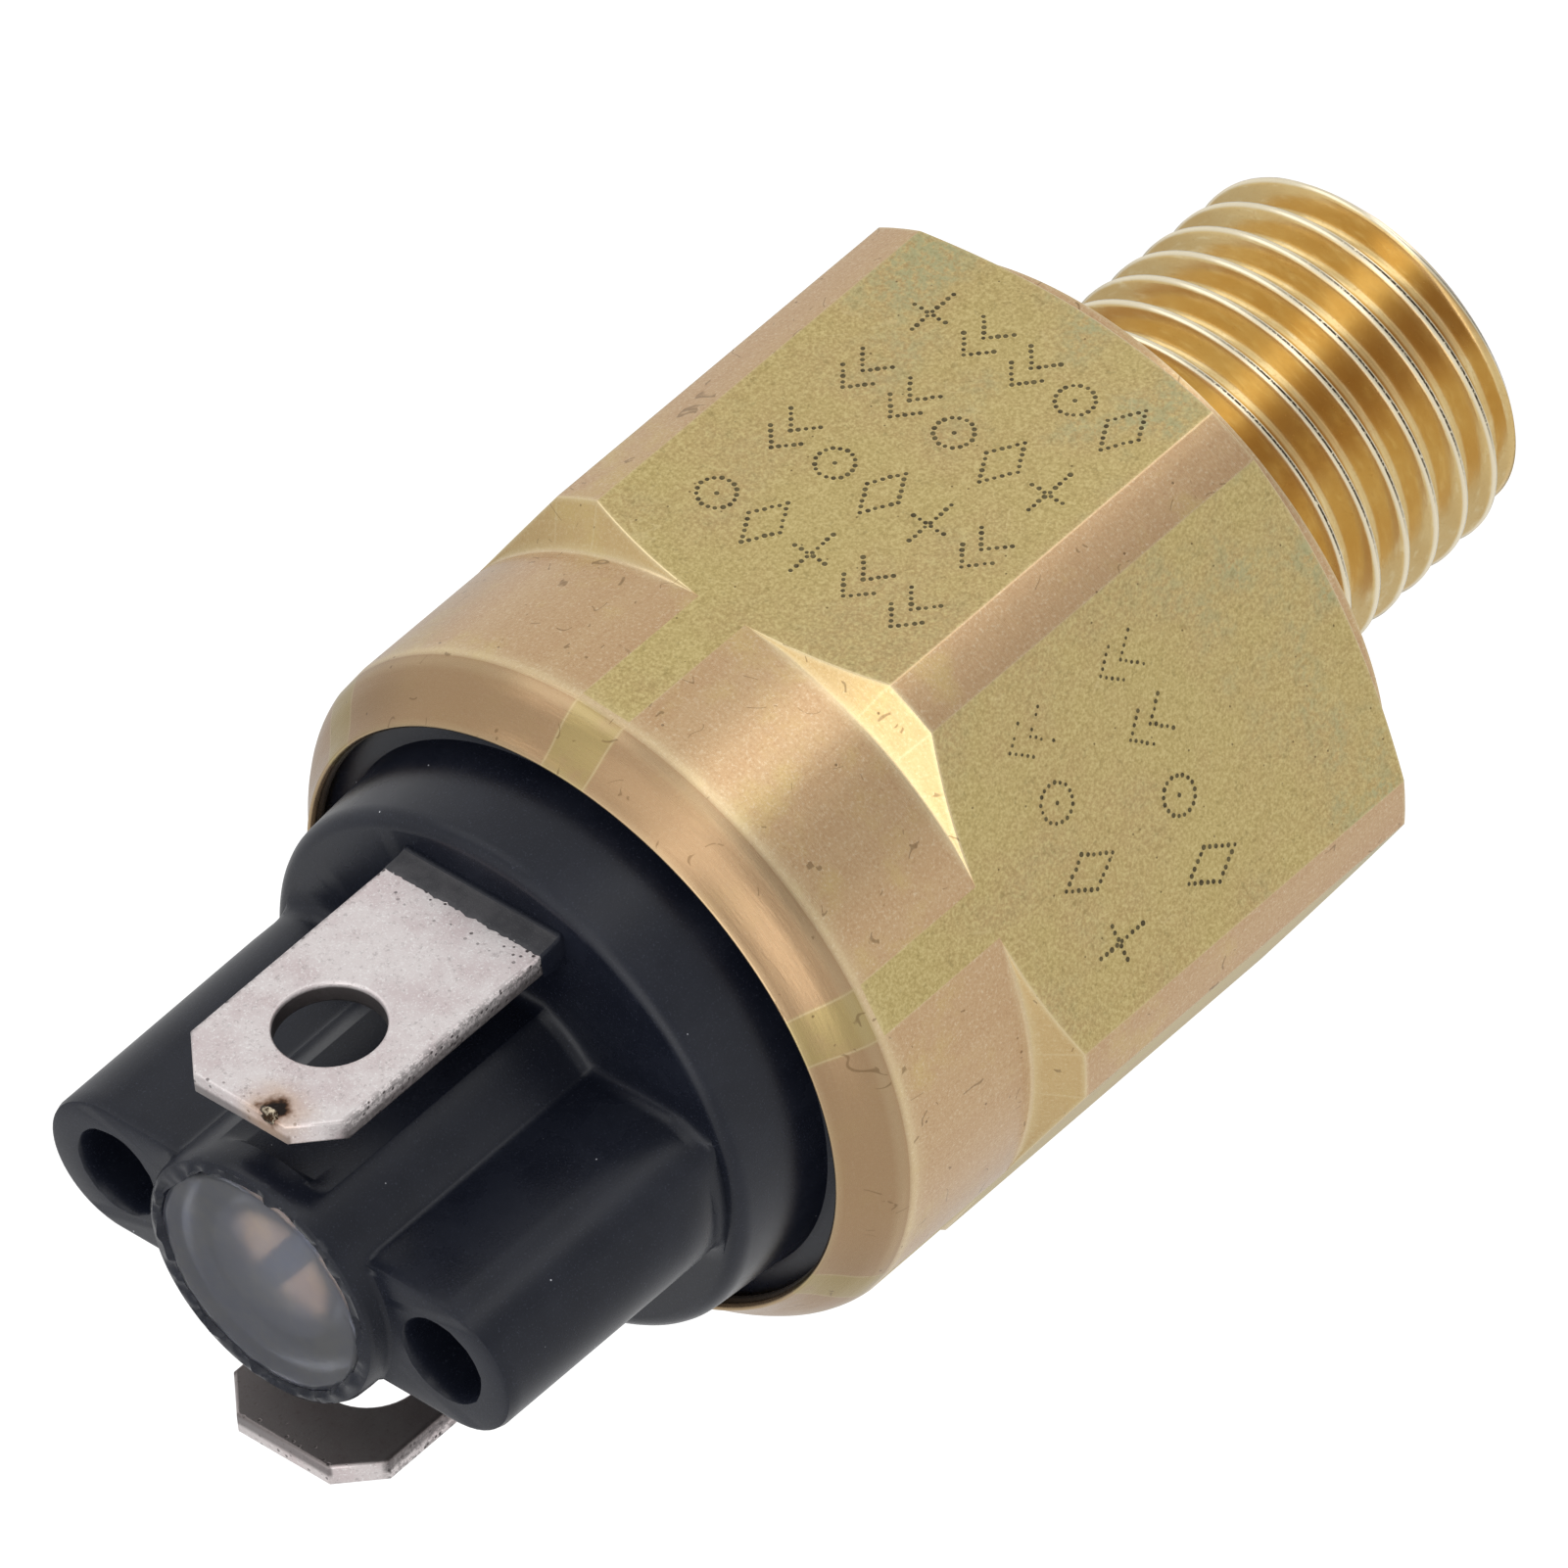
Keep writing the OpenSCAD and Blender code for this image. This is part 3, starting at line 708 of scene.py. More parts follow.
def socket_profile(angle):
    """The socket's outline at one angle, up the outside and down the bore."""
    rim_noise = noise.noise(Vector((3 * cos(angle), 3 * sin(angle), 0.4)))
    rim_fine = noise.noise(Vector((6.5 * cos(angle), 6.5 * sin(angle), 2.1)))
    torn = 0.14 * rim_noise + 0.06 * rim_fine
    up = [
        (SHOULDER_WALL_R, SOCKET_LOW), (SHOULDER_WALL_R, FLANGE_Z), (FLANGE_R, FLANGE_Z),
        (FLANGE_R, FLANGE_TOP - 0.3), (FLANGE_R - 0.3, FLANGE_TOP), (SHOULDER_WALL_R + 0.25, FLANGE_TOP),
        (SHOULDER_WALL_R + 0.06, FLANGE_TOP + 0.08), (SHOULDER_WALL_R, FLANGE_TOP + 0.3),
    ]
    up += [(SHOULDER_WALL_R - 0.2 * i / 4, FLANGE_TOP + 0.3 + 2.85 * i / 4) for i in range(1, 5)]
    soft = 0.55
    for i in range(1, 7):
        a = radians(90 * i / 6)
        up.append((9.4 - soft + soft * cos(a), SHOULDER_TOP - soft + soft * sin(a)))
    outer = 9.4 - soft
    for grow, z in ((0.75, 0.0), (0.42, 0.03), (0.2, 0.12), (0.08, 0.28), (0.05, 0.55)):
        up.append((min(joined_reach(angle, grow), outer - 0.01 * (1 - grow)), SHOULDER_TOP + z))
    wall = 10
    for i in range(1, wall + 1):
        share = i / wall
        z = SHOULDER_TOP + 0.55 + (TUBE_FLAT_TOP - 0.35 - SHOULDER_TOP - 0.55) * share
        up.append((joined_reach(angle, 0.05 * (1 - share)), z))
    up.append((joined_reach(angle, 0.0, flat=False), TUBE_FLAT_TOP))
    ledge = max(block_reach(angle, -0.06), TUBE_R)
    up += [(ledge, BLOCK_TOP - 0.05)]
    ledge = max(block_reach(angle, -0.2), TUBE_R)
    up += [
        (ledge, BLOCK_TOP), (min(TUBE_R + 0.3, ledge), BLOCK_TOP),
        (min(TUBE_R + 0.1, ledge), BLOCK_TOP + 0.06), (TUBE_R, BLOCK_TOP + 0.22),
        (TUBE_R - 0.02, TUBE_TOP - 0.25), (TUBE_R - 0.1, TUBE_TOP - 0.08),
        (TUBE_R - 0.24, TUBE_TOP - 0.02 + 0.25 * torn),
        (TUBE_BORE_R + 0.45 + torn, TUBE_TOP - 0.01 - 0.3 * rim_fine),
        (TUBE_BORE_R + 0.3 + 1.6 * torn, TUBE_TOP - 0.06),
        (TUBE_BORE_R + 0.24 + 1.6 * torn, TUBE_TOP - 0.16),
        (TUBE_BORE_R + 0.1, TUBE_TOP - 0.5), (TUBE_BORE_R, TUBE_TOP - 0.85),
    ]
    bush_z, spring_r = 31.6, 3.5
    up += [(TUBE_BORE_R, bush_z), (spring_r, bush_z), (spring_r, SOCKET_LOW)]
    return up


def socket_angles():
    """Angles round the socket, close together where its outline bends."""
    count = 240
    tip = atan2(BLOCK_HALF_W, BLOCK_END_X)
    join = asin(BLOCK_HALF_W / TUBE_R)
    flat = asin(TUBE_FLAT_Y / TUBE_R)
    quarter = {round(tau * i / count, 6) for i in range(count // 4)}
    for bend in (tip, join, flat):
        quarter |= {round(bend + 0.004 * k, 6) for k in range(-5, 6)}
    quarter = sorted(a for a in quarter if 0 <= a < pi / 2)
    mirrored = [pi - a for a in reversed(quarter) if a > 0]
    half = quarter + [pi / 2] + mirrored
    return half + [a + pi for a in half]


def build_socket_mesh(materials):
    """The socket's outline at every angle, joined into one closed skin."""
    points = []
    angles = sorted(set(round(a, 6) for a in socket_angles()))
    angles = [a for a in angles if a < tau - 1e-5]
    for angle in angles:
        for r, z in socket_profile(angle):
            points.append(at(r, angle, z))
    faces = grid_faces(len(angles), len(points) // len(angles))
    return make_piece("moulded_socket", points, faces, materials)


def bore_out(piece, x, radius, top, depth):
    """Cuts a blind hole with a slightly torn mouth down from top."""
    bm = bmesh.new()
    sides = 40
    rings = []
    for z, reach in ((top + 0.5, radius + 0.16), (top, radius + 0.1), (top - 0.12, radius + 0.02),
                     (top - 0.6, radius), (top - depth + 0.4, radius * 0.93), (top - depth, radius * 0.8)):
        ring = []
        for i in range(sides):
            a = tau * i / sides
            rough = 0.05 * noise.noise(Vector((4 * cos(a) + x, 4 * sin(a), z)))
            r = reach + (rough if z > top - 0.3 else 0.3 * rough)
            ring.append(bm.verts.new(Vector((x + r * cos(a), r * sin(a), z)) * MM))
        rings.append(ring)
    for lower, upper in zip(rings, rings[1:]):
        for i in range(sides):
            bm.faces.new((lower[i], lower[(i + 1) % sides], upper[(i + 1) % sides], upper[i]))
    bm.faces.new(rings[0])
    bm.faces.new(list(reversed(rings[-1])))
    bmesh.ops.recalc_face_normals(bm, faces=bm.faces)
    mesh = bpy.data.meshes.new("cutter")
    bm.to_mesh(mesh)
    bm.free()
    cutter = bpy.data.objects.new("cutter", mesh)
    bpy.context.scene.collection.objects.link(cutter)
    cut = piece.modifiers.new("boss_hole", "BOOLEAN")
    cut.operation, cut.object, cut.solver = "DIFFERENCE", cutter, "EXACT"
    bpy.context.view_layer.update()
    made = bpy.data.meshes.new_from_object(piece.evaluated_get(bpy.context.evaluated_depsgraph_get()))
    piece.modifiers.remove(cut)
    piece.data = made
    bpy.data.objects.remove(cutter)


def black_plastic_material():
    """Moulded black plastic: blue-black, satin, with glass fibre grain, scuffs and dust."""
    material, tree = start_material("black_polyamide", Roughness=0.25, IOR=1.5, Specular_IOR_Level=0.3)
    blotches, grain = use(tree, CLOUDS, 2.2, 0.07)
    [dust] = use(tree, PITS, 0.9, 0.032, 0.3)
    colour = paint(
        blotches.ramp(0.35, 0.7).mix((20, 23, 33), (27, 30, 40)),
        (grain.ramp(0.56, 0.78), (54, 58, 70)),
        (dust, (190, 192, 198)),
    )
    return feed(material, colour, grain, 0.012, 0.45, blotches * 0.2 + 0.16)


def build_root_pad(side):
    """The boss a blade comes out of, ending in a thin torn skin of flash over the blade's face."""
    points = []
    half, columns = 3.2, 60
    for c in range(columns + 1):
        x = -half + 2 * half * c / columns
        end = max(0.0, abs(x) - half + 0.16) / 0.16
        inset = 0.14 * (1 - sqrt(max(0.0, 1 - end * end)))
        wavy = noise.noise(Vector((2.3 * x, side, 0.0)))
        ragged = noise.noise(Vector((7.0 * x, side, 3.0)))
        torn = 28.02 + 0.09 * wavy + 0.07 * ragged
        low = 26.85
        profile = [(6.3, low), (7.92 - inset, low), (7.74 - inset, low + 0.3), (7.68 - inset, 27.4),
                   (7.66 - inset, torn - 0.16), (7.64 - inset, torn - 0.05), (7.58 - inset, torn),
                   (6.78, torn - 0.04), (6.74, torn - 0.16), (6.7, low + 0.3), (6.3, low)]
        for y, z in profile:
            points.append((side * x, side * y, z))
    rows = len(profile)
    faces = grid_faces(columns + 1, rows, joined_columns=False, joined_rows=False)
    faces.append(tuple(range(rows - 1)))
    faces.append(tuple(columns * rows + row for row in reversed(range(rows - 1))))
    skin = [[1 < row < 6 and 0 < c < columns - 1 for row in range(rows - 1)] for c in range(columns)]
    indices = [0 if shown else 1 for column in skin for shown in column]
    return points, faces, indices + [1, 1]


def flash_material():
    """Flash at the blade's root: matt, paler grey, with crumbs of plate stuck to its edge."""
    material, tree = start_material("moulding_flash", Roughness=0.55, IOR=1.5, Specular_IOR_Level=0.35)
    blotches, grain = use(tree, CLOUDS, 0.8, 0.06)
    [crumbs] = use(tree, PITS, 0.2, 0.05, 0.45)
    rim = axes(tree)[2].ramp(27.85, 28.1)
    colour = paint(
        blotches.ramp(0.35, 0.7).mix((50, 50, 54), (68, 67, 70)),
        (grain.ramp(0.55, 0.8), (84, 86, 88)),
        (crumbs * rim, (196, 192, 192)),
    )
    return feed(material, colour, grain, 0.02, 0.7)


black_plastic = black_plastic_material()
socket = build_socket_mesh([black_plastic])
weighted = socket.modifiers["weighted_normals"]
socket.modifiers.remove(weighted)
for side in (-1, 1):
    bore_out(socket, side * BOSS_X, BOSS_HOLE_R, BLOCK_TOP, BOSS_HOLE_L)
socket.data.set_sharp_from_angle(angle=radians(38))
socket.modifiers.new("weighted_normals", "WEIGHTED_NORMAL").keep_sharp = True
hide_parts("socket_base")
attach(socket, "housing")
flash = flash_material()
for side, name in ((1, "front_blade_pad"), (-1, "rear_blade_pad")):
    points, faces, indices = build_root_pad(side)
    pad = make_piece(name, points, faces, [flash, black_plastic], indices)
    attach(pad, "housing")


# ------------------------------------------------------------
# Blade terminals. Stamped from 0.8 mm brass and tin plated, moulded into the socket: a
# 6.3 mm blade with a bevelled tip and a hole, a narrow tail, and a foot bent in below.
BLADE_HALF_W = 3.15
BLADE_T = 0.8
BLADE_OUT_Y = 7.6
BLADE_TOP = 37.9
BLADE_HOLE_R = 1.75
BLADE_HOLE_Z = 33.9
TIP_CUT = 1.3
TAIL_HALF_W = 2.0
TAIL_TOP = 21.5
FOOT_Z = 15.6
FOOT_IN_Y = 3.7
BLADE_ROOT_Z = 28.1
BURN_PLACE = (1.1, 7.5, 37.75)


def tinned_material(name, burnt):
    """Tin plate on brass: pinkish silver, pitted at the edges and where it leaves the socket, with painted
    shade on the back of the cut faces and on the back face.
    """
    material, tree = start_material(name, Metallic=0.8, Roughness=0.36)
    blotches, grain = use(tree, CLOUDS, 2.0, 0.07)
    patches, coarse = use(tree, CLOUDS, 0.5, 0.16)
    [pits] = use(tree, PITS, 0.24, 0.07, 0.45)
    x, y, z = axes(tree)
    depth = abs(y)
    upright = z - BLADE_HOLE_Z
    from_hole = x.step("SQRT", x * x + upright * upright)

    low = z.ramp(BLADE_ROOT_Z + 1.1, BLADE_ROOT_Z)
    side = abs(x).ramp(BLADE_HALF_W - 0.22, BLADE_HALF_W - 0.02)
    tip = z.ramp(BLADE_TOP - 0.9, BLADE_TOP) * 0.7
    rim = x.step("MAXIMUM", x.step("MAXIMUM", low, side), tip)
    rim_pits = pits * (rim * 0.85 + 0.08)
    flank = side * coarse.ramp(0.42, 0.56)
    # Painted shade: the side and tip faces are painted darker behind their front 0.3 mm.
    cut = x.step("MAXIMUM", side, z.ramp(BLADE_TOP - 0.12, BLADE_TOP - 0.04))
    torn = cut * depth.ramp(BLADE_OUT_Y - 0.3, BLADE_OUT_Y - 0.5)
    # Painted shade: the back face, which looks at the tube, is painted darker.
    shaded_back_face = depth.ramp(BLADE_OUT_Y - BLADE_T + 0.1, BLADE_OUT_Y - BLADE_T)
    sheared = from_hole.ramp(BLADE_HOLE_R + 0.07, BLADE_HOLE_R + 0.02)
    sheared = sheared * depth.ramp(BLADE_OUT_Y - 0.12, BLADE_OUT_Y - 0.22)

    colour = paint(
        blotches.ramp(0.4, 0.68).mix((226, 218, 217), (212, 198, 198)),
        (grain.ramp(0.5, 0.75), (246, 243, 242)),
        (coarse.ramp(0.45, 0.3) * 0.45, (158, 148, 147)),
        (rim_pits, (58, 50, 50)),
        (flank * 0.6, (104, 98, 98)),
        # Painted shade on the cut faces, behind their front.
        (torn * 0.75, (92, 86, 86)),
        # Painted shade on the back face.
        (shaded_back_face * 0.75, (112, 104, 102)),
        (sheared * 0.9, (54, 48, 48)),
    )
    if burnt:
        centre = (*BURN_PLACE[:2], BURN_PLACE[2] - 0.2)
        away = put(tree, "VectorMath", operation="DISTANCE", in_0=place_millimetres(tree), in_1=centre)
        uneven = Level(away.outputs["Value"]) + blotches * 0.9 + patches * 0.5
        colour = (uneven.ramp(2.3, 1.0) * 0.6).mix(colour, (200, 164, 130))
        colour = uneven.ramp(1.45, 1.05).mix(colour, (104, 70, 46))
        colour = uneven.ramp(1.2, 1.0).mix(colour, (30, 22, 18))
    return feed(material, colour, grain * 0.35 - rim_pits, 0.03, 0.7, grain * 0.25 + 0.26)


def build_terminal(name, material):
    """A flat stamping with softened edges, standing at its place on +Y."""
    bm = bmesh.new()
    outline = [
        (-TAIL_HALF_W, FOOT_Z), (TAIL_HALF_W, FOOT_Z), (TAIL_HALF_W, TAIL_TOP), (BLADE_HALF_W, TAIL_TOP),
        (BLADE_HALF_W, BLADE_TOP - TIP_CUT), (BLADE_HALF_W - TIP_CUT, BLADE_TOP),
        (-BLADE_HALF_W + TIP_CUT, BLADE_TOP), (-BLADE_HALF_W, BLADE_TOP - TIP_CUT),
        (-BLADE_HALF_W, TAIL_TOP), (-TAIL_HALF_W, TAIL_TOP),
    ]
    hole_sides = 48
    hole = [(BLADE_HOLE_R * cos(tau * i / hole_sides),
             BLADE_HOLE_Z + BLADE_HOLE_R * sin(tau * i / hole_sides)) for i in range(hole_sides)]
    edges = []
    for loop in (outline, hole):
        verts = [bm.verts.new(Vector((x, BLADE_OUT_Y, z)) * MM) for x, z in loop]
        edges += [bm.edges.new((verts[i], verts[(i + 1) % len(verts)])) for i in range(len(verts))]
    bmesh.ops.triangle_fill(bm, use_beauty=True, edges=edges)
    made = bmesh.ops.extrude_face_region(bm, geom=list(bm.faces))
    moved = [v for v in made["geom"] if isinstance(v, bmesh.types.BMVert)]
    bmesh.ops.translate(bm, verts=moved, vec=Vector((0, -BLADE_T * MM, 0)))
    bmesh.ops.recalc_face_normals(bm, faces=bm.faces)
    rims = [e for e in bm.edges if e.is_manifold and e.calc_face_angle() > 1.0]
    bmesh.ops.bevel(bm, geom=rims, offset=0.12 * MM, segments=3, profile=0.6, affect="EDGES")
    foot_depth = BLADE_OUT_Y - BLADE_T - FOOT_IN_Y
    foot = bmesh.ops.create_cube(bm, size=1.0, matrix=Matrix.Translation(
        Vector((0, FOOT_IN_Y + foot_depth / 2, FOOT_Z + BLADE_T / 2)) * MM)
        @ Matrix.Diagonal((2 * TAIL_HALF_W * MM, foot_depth * MM, BLADE_T * MM, 1)))
    foot_edges = {e for v in foot["verts"] for e in v.link_edges}
    bmesh.ops.bevel(bm, geom=list(foot_edges), offset=0.08 * MM, segments=2, affect="EDGES")
    mesh = bpy.data.meshes.new(name)
    bm.to_mesh(mesh)
    bm.free()
    mesh.materials.append(material)
    mesh.shade_smooth()
    mesh.set_sharp_from_angle(angle=radians(50))
    piece = bpy.data.objects.new(name, mesh)
    bpy.context.scene.collection.objects.link(piece)
    piece.modifiers.new("weighted_normals", "WEIGHTED_NORMAL").keep_sharp = True
    return piece


def build_solder_blob(material):
    """A small lump of weld metal on the front blade's tip edge, with two pinholes."""
    points = []
    sides, rings = 28, 14
    for r in range(rings + 1):
        b = pi * r / rings
        for i in range(sides):
            a = tau * i / sides
            way = Vector((sin(b) * cos(a), sin(b) * sin(a), cos(b)))
            reach = 1 + 0.28 * noise.noise(way * 1.7) - 0.35 * max(0.0, noise.noise(way * 4.5) - 0.15)
            points.append((BURN_PLACE[0] + 0.42 * way.x * reach, BURN_PLACE[1] + 0.26 * way.y * reach,
                           BURN_PLACE[2] + 0.2 * way.z * reach))
    faces = grid_faces(rings + 1, sides, joined_columns=False)
    return make_piece("solder_blob", points, faces, [material])


def solder_material():
    """Bare, glassy weld metal, half scorched brown."""
    material, tree = start_material("weld_metal", Metallic=0.9, Roughness=0.18)
    blotches, grain = use(tree, CLOUDS, 0.35, 0.05)
    colour = blotches.ramp(0.42, 0.56).mix((206, 192, 168), (58, 42, 28))
    colour = grain.ramp(0.6, 0.8).mix(colour, (238, 232, 218))
    return feed(material, colour, grain, 0.02, 0.6)


blob = build_solder_blob(solder_material())
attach(blob, "housing")
for name, turn, burnt in (("terminal_front", 0, True), ("terminal_rear", pi, False)):
    blade = build_terminal("blade_" + name, tinned_material("tin_plate_" + name, burnt))
    blade.data.transform(Matrix.Rotation(turn, 4, "Z"))
    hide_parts(name)
    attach(blade, "housing")


# ------------------------------------------------------------
# Sealing compound. Cloudy two-part resin, poured in the tube's mouth over the screw once
# the switch is set. It dips in the middle and creeps up at the torn rim.
COMPOUND_R = 3.9
COMPOUND_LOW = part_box("sealing_compound")[0].z / MM
COMPOUND_TOP = 37.97
SCREW_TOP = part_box("adjusting_screw")[1].z / MM
SCREW_R = 2.3


def compound_material():
    """Blue-grey resin that lets the screw's head show softly through."""
    material, tree = start_material("cloudy_resin", Roughness=0.28, IOR=1.4, Transmission_Weight=0.94)
    blotches, grain = use(tree, CLOUDS, 1.6, 0.06)
    return feed(material, blotches.ramp(0.35, 0.7).mix((206, 212, 234), (228, 230, 237)), grain, 0.01, 0.3)


def build_compound(materials):
    """The pour: a dished top, a wall against the bore, and a recess over the screw's head."""
    points, faces = [], []
    sides = 96
    rings = [(0.0, -0.1), (0.6, -0.1), (1.4, -0.09), (2.2, -0.06), (2.9, -0.03), (3.4, 0.0), (3.7, 0.02),
             (COMPOUND_R, 0.0), (COMPOUND_R - 0.06, -0.2), (TUBE_BORE_R, -0.9)]
    heights = [COMPOUND_TOP + lift for _, lift in rings]
    heights += [COMPOUND_LOW, COMPOUND_LOW, SCREW_TOP + 0.2, SCREW_TOP + 0.2]
    reaches = [r for r, _ in rings] + [TUBE_BORE_R, SCREW_R + 0.1, SCREW_R + 0.1, 0.0]
    for i in range(sides):
        a = tau * i / sides
        for row, (r, z) in enumerate(zip(reaches, heights)):
            place = Vector((r * cos(a) * 0.8, r * sin(a) * 0.8, 5.0))
            ripple = 0.02 * noise.noise(place) if row < 8 else 0
            points.append(at(r, a, z + ripple * (r > 0)))
    rows = len(reaches)
    for c in range(sides):
        d = (c + 1) % sides
        for row in range(rows - 1):
            faces.append((c * rows + row + 1, d * rows + row + 1, d * rows + row, c * rows + row))
    return make_piece("sealing_resin", points, faces, materials)


resin = build_compound([compound_material()])
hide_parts("sealing_compound")
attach(resin, "housing")


# ------------------------------------------------------------
# Adjusting screw, threaded bush and spring cap. The dull brass screw is turned from rod and
# runs in a bush pressed in the tube. It pushes the cap, a turned disc with a locating nose.
def dull_brass_material(name, light, dark, metallic, slot_floor=None):
    """Turned brass under a film of resin: lathe lines, tarnish and bright high spots."""
    material, tree = start_material(name, Metallic=metallic, Roughness=0.4)
    blotches, grain = use(tree, CLOUDS, 1.2, 0.06)
    lines, streaks = use(tree, TURNING, 10.0)
    colour = blotches.ramp(0.35, 0.7).mix(light, dark)
    colour = (lines.ramp(0.5, 0.75) * 0.4).mix(colour, (244, 220, 180))
    if slot_floor:
        colour = axes(tree)[2].ramp(SCREW_TOP - 0.15, SCREW_TOP - 0.5).mix(colour, slot_floor)
    return feed(material, colour, lines, 0.01, 0.5, grain * 0.25 + 0.28)


def finish_nodes(material, *names):
    """Gives CAD nodes that are shown as they are their finish."""
    for name in names:
        for place in nodes[name].material_slots:
            place.material = material


screw_brass = dull_brass_material("screw_brass", (255, 212, 160), (252, 198, 142), 0.0, (128, 132, 136))
finish_nodes(screw_brass, "adjusting_screw")
finish_nodes(dull_brass_material("bush_brass", (62, 58, 56), (44, 42, 43), 0.6), "threaded_bush")
finish_nodes(dull_brass_material("cap_brass", (206, 168, 96), (178, 136, 70), 1.0), "spring_cap")


# ------------------------------------------------------------
# Setting spring and contact spring. Cold coiled from round spring steel wire, with closed
# ends, phosphate grey. The setting spring is drawn as two halves that meet at its middle.
def build_coil(name, middle_r, wire, low, high, turns, material, first=0.0, last=1.0):
    """A compression spring whose end turns lie closed, or its part from first to last share."""
    steps, sides = 48, 14
    closed_rise = 1.04 * wire
    open_rise = (high - low - wire - 2 * closed_rise) / (turns - 2)
    points = []
    count = round((last - first) * turns * steps)
    for i in range(count + 1):
        turn = first * turns + i / steps
        z = low + wire / 2 + closed_rise * min(turn, 1) + open_rise * min(max(turn - 1, 0), turns - 2)
        z += closed_rise * max(turn - turns + 1, 0)
        a = tau * turn
        for k in range(sides):
            b = tau * k / sides
            r = middle_r + wire / 2 * cos(b)
            points.append(at(r, a, z + wire / 2 * sin(b)))
    faces = grid_faces(count + 1, sides, joined_columns=False)
    faces.append(tuple(range(sides)))
    faces.append(tuple(count * sides + k for k in reversed(range(sides))))
    return make_piece(name, points, faces, [material])


def spring_wire_material():
    """Drawn spring wire: grey phosphate with brighter rubbed spots."""
    material, tree = start_material("spring_wire", Metallic=1.0, Roughness=0.35)
    blotches, grain = use(tree, CLOUDS, 0.9, 0.05)
    colour = blotches.ramp(0.35, 0.7).mix((128, 130, 134), (98, 99, 104))
    colour = grain.ramp(0.55, 0.8).mix(colour, (196, 198, 202))
    return feed(material, colour, grain, 0.008, 0.5, grain * 0.3 + 0.2)


spring_wire = spring_wire_material()
lower = build_coil("setting_coil_lower", 2.85, 0.8, 15.1, 29.9, 9, spring_wire, last=0.5)
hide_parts("setting_spring")
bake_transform(lower)
upper = build_coil("setting_coil_upper", 2.85, 0.8, 15.1, 29.9, 9, spring_wire, first=0.5)
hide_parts("setting_spring")
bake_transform(upper)
coil = build_coil("contact_coil", 3.2, 0.4, 12.0, 14.0, 4, spring_wire)
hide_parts("contact_spring")
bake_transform(coil)


# ------------------------------------------------------------
# Contacts. The disc is punched from hard brass sheet and bridges two silver rivets, whose
# shanks are headed over in the terminals' feet.
def contact_material(name, light, dark):
    """Punched contact metal: rolling grain, soft tarnish and fine wear spots."""
    material, tree = start_material(name, Metallic=1.0, Roughness=0.25)
    blotches, grain = use(tree, CLOUDS, 1.5, 0.07)
    [pits] = use(tree, PITS, 0.5, 0.06, 0.4)
    rolled = noise_map(tree, (12, 0.5, 1), 1.0, 4.0)
    colour = blotches.ramp(0.35, 0.7).mix(light, dark)
    colour = (pits * 0.5).mix(colour, (96, 84, 70))
    return feed(material, colour, rolled, 0.006, 0.4, rolled * 0.25 + 0.14)


finish_nodes(contact_material("contact_brass", (222, 186, 112), (196, 152, 82)), "contact_disc")
finish_nodes(contact_material("contact_silver", (232, 232, 234), (206, 204, 202)),
             "contact_rivet_front", "contact_rivet_rear")


# ------------------------------------------------------------
# Piston, clamping ring and disc retainer. The piston is turned from aluminium rod. The ring
# and the retainer are zinc plated steel, faced and deburred.
def turned_grey_material(name, light, dark):
    """Bright turned metal with lathe lines and a light bloom."""
    material, tree = start_material(name, Metallic=1.0, Roughness=0.3)
    blotches, grain = use(tree, CLOUDS, 1.8, 0.08)
    lines, streaks = use(tree, TURNING, 12.0)
    colour = blotches.ramp(0.35, 0.7).mix(light, dark)
    colour = (lines * 0.3).mix(colour, (240, 242, 244))
    return feed(material, colour, lines, 0.01, 0.5, lines * 0.25 + 0.18)


finish_nodes(turned_grey_material("turned_aluminium", (206, 207, 206), (182, 183, 184)), "piston")
finish_nodes(turned_grey_material("zinc_plate", (186, 190, 196), (154, 160, 170)),
             "clamping_ring", "disc_retainer")


# ------------------------------------------------------------
# Plunger and contact liner. Both are moulded in natural glass-filled plastic, cream with
# short fibre flecks and a slight gloss.
def natural_plastic_material():
    """Cream plastic with pale fibre flecks."""
    material, tree = start_material("natural_plastic", Roughness=0.45, IOR=1.5, Specular_IOR_Level=0.45)
    blotches, grain = use(tree, CLOUDS, 2.5, 0.09)
    fibres = noise_map(tree, (2, 9, 2), 1.0, 3.0)
    colour = blotches.ramp(0.35, 0.7).mix((226, 220, 200), (214, 205, 180))
    colour = fibres.ramp(0.62, 0.75).mix(colour, (240, 236, 222))
    return feed(material, colour, fibres, 0.01, 0.4, grain * 0.2 + 0.35)


finish_nodes(natural_plastic_material(), "plunger", "contact_liner")


# ------------------------------------------------------------
# Diaphragm and socket gasket. Compression moulded from black nitrile rubber, matt, with a
# dusting of talc.
def rubber_material():
    """Matt black rubber with talc in its grain."""
    material, tree = start_material("nitrile_rubber", Roughness=0.8, IOR=1.5, Specular_IOR_Level=0.3)
    blotches, grain = use(tree, CLOUDS, 2.0, 0.1)
    colour = blotches.ramp(0.35, 0.7).mix((32, 32, 33), (44, 43, 43))
    colour = (grain.ramp(0.55, 0.8) * 0.5).mix(colour, (112, 111, 108))
    return feed(material, colour, grain, 0.02, 0.6, grain * 0.25 + 0.62)


finish_nodes(rubber_material(), "diaphragm", "socket_gasket")


# ------------------------------------------------------------
# Floor, light and camera. A white table that glows as a light, plain white to the camera and in brighter
# and darker sectors elsewhere; soft light from all round; a long lens that looks down on the corner between
# the two marked flats, turned on its side.
FLOOR_HALF = 3.0
FLOOR_Z = cad_low.z - 0.00005
KEY_TURN = radians(60)
KEY_LIFT = radians(74)
CARDS = ((74, 13, 9, 1.0), (44, 22, 14, -0.3), (-155, 30, 20, -0.25), (-95, 22, 14, -0.15))


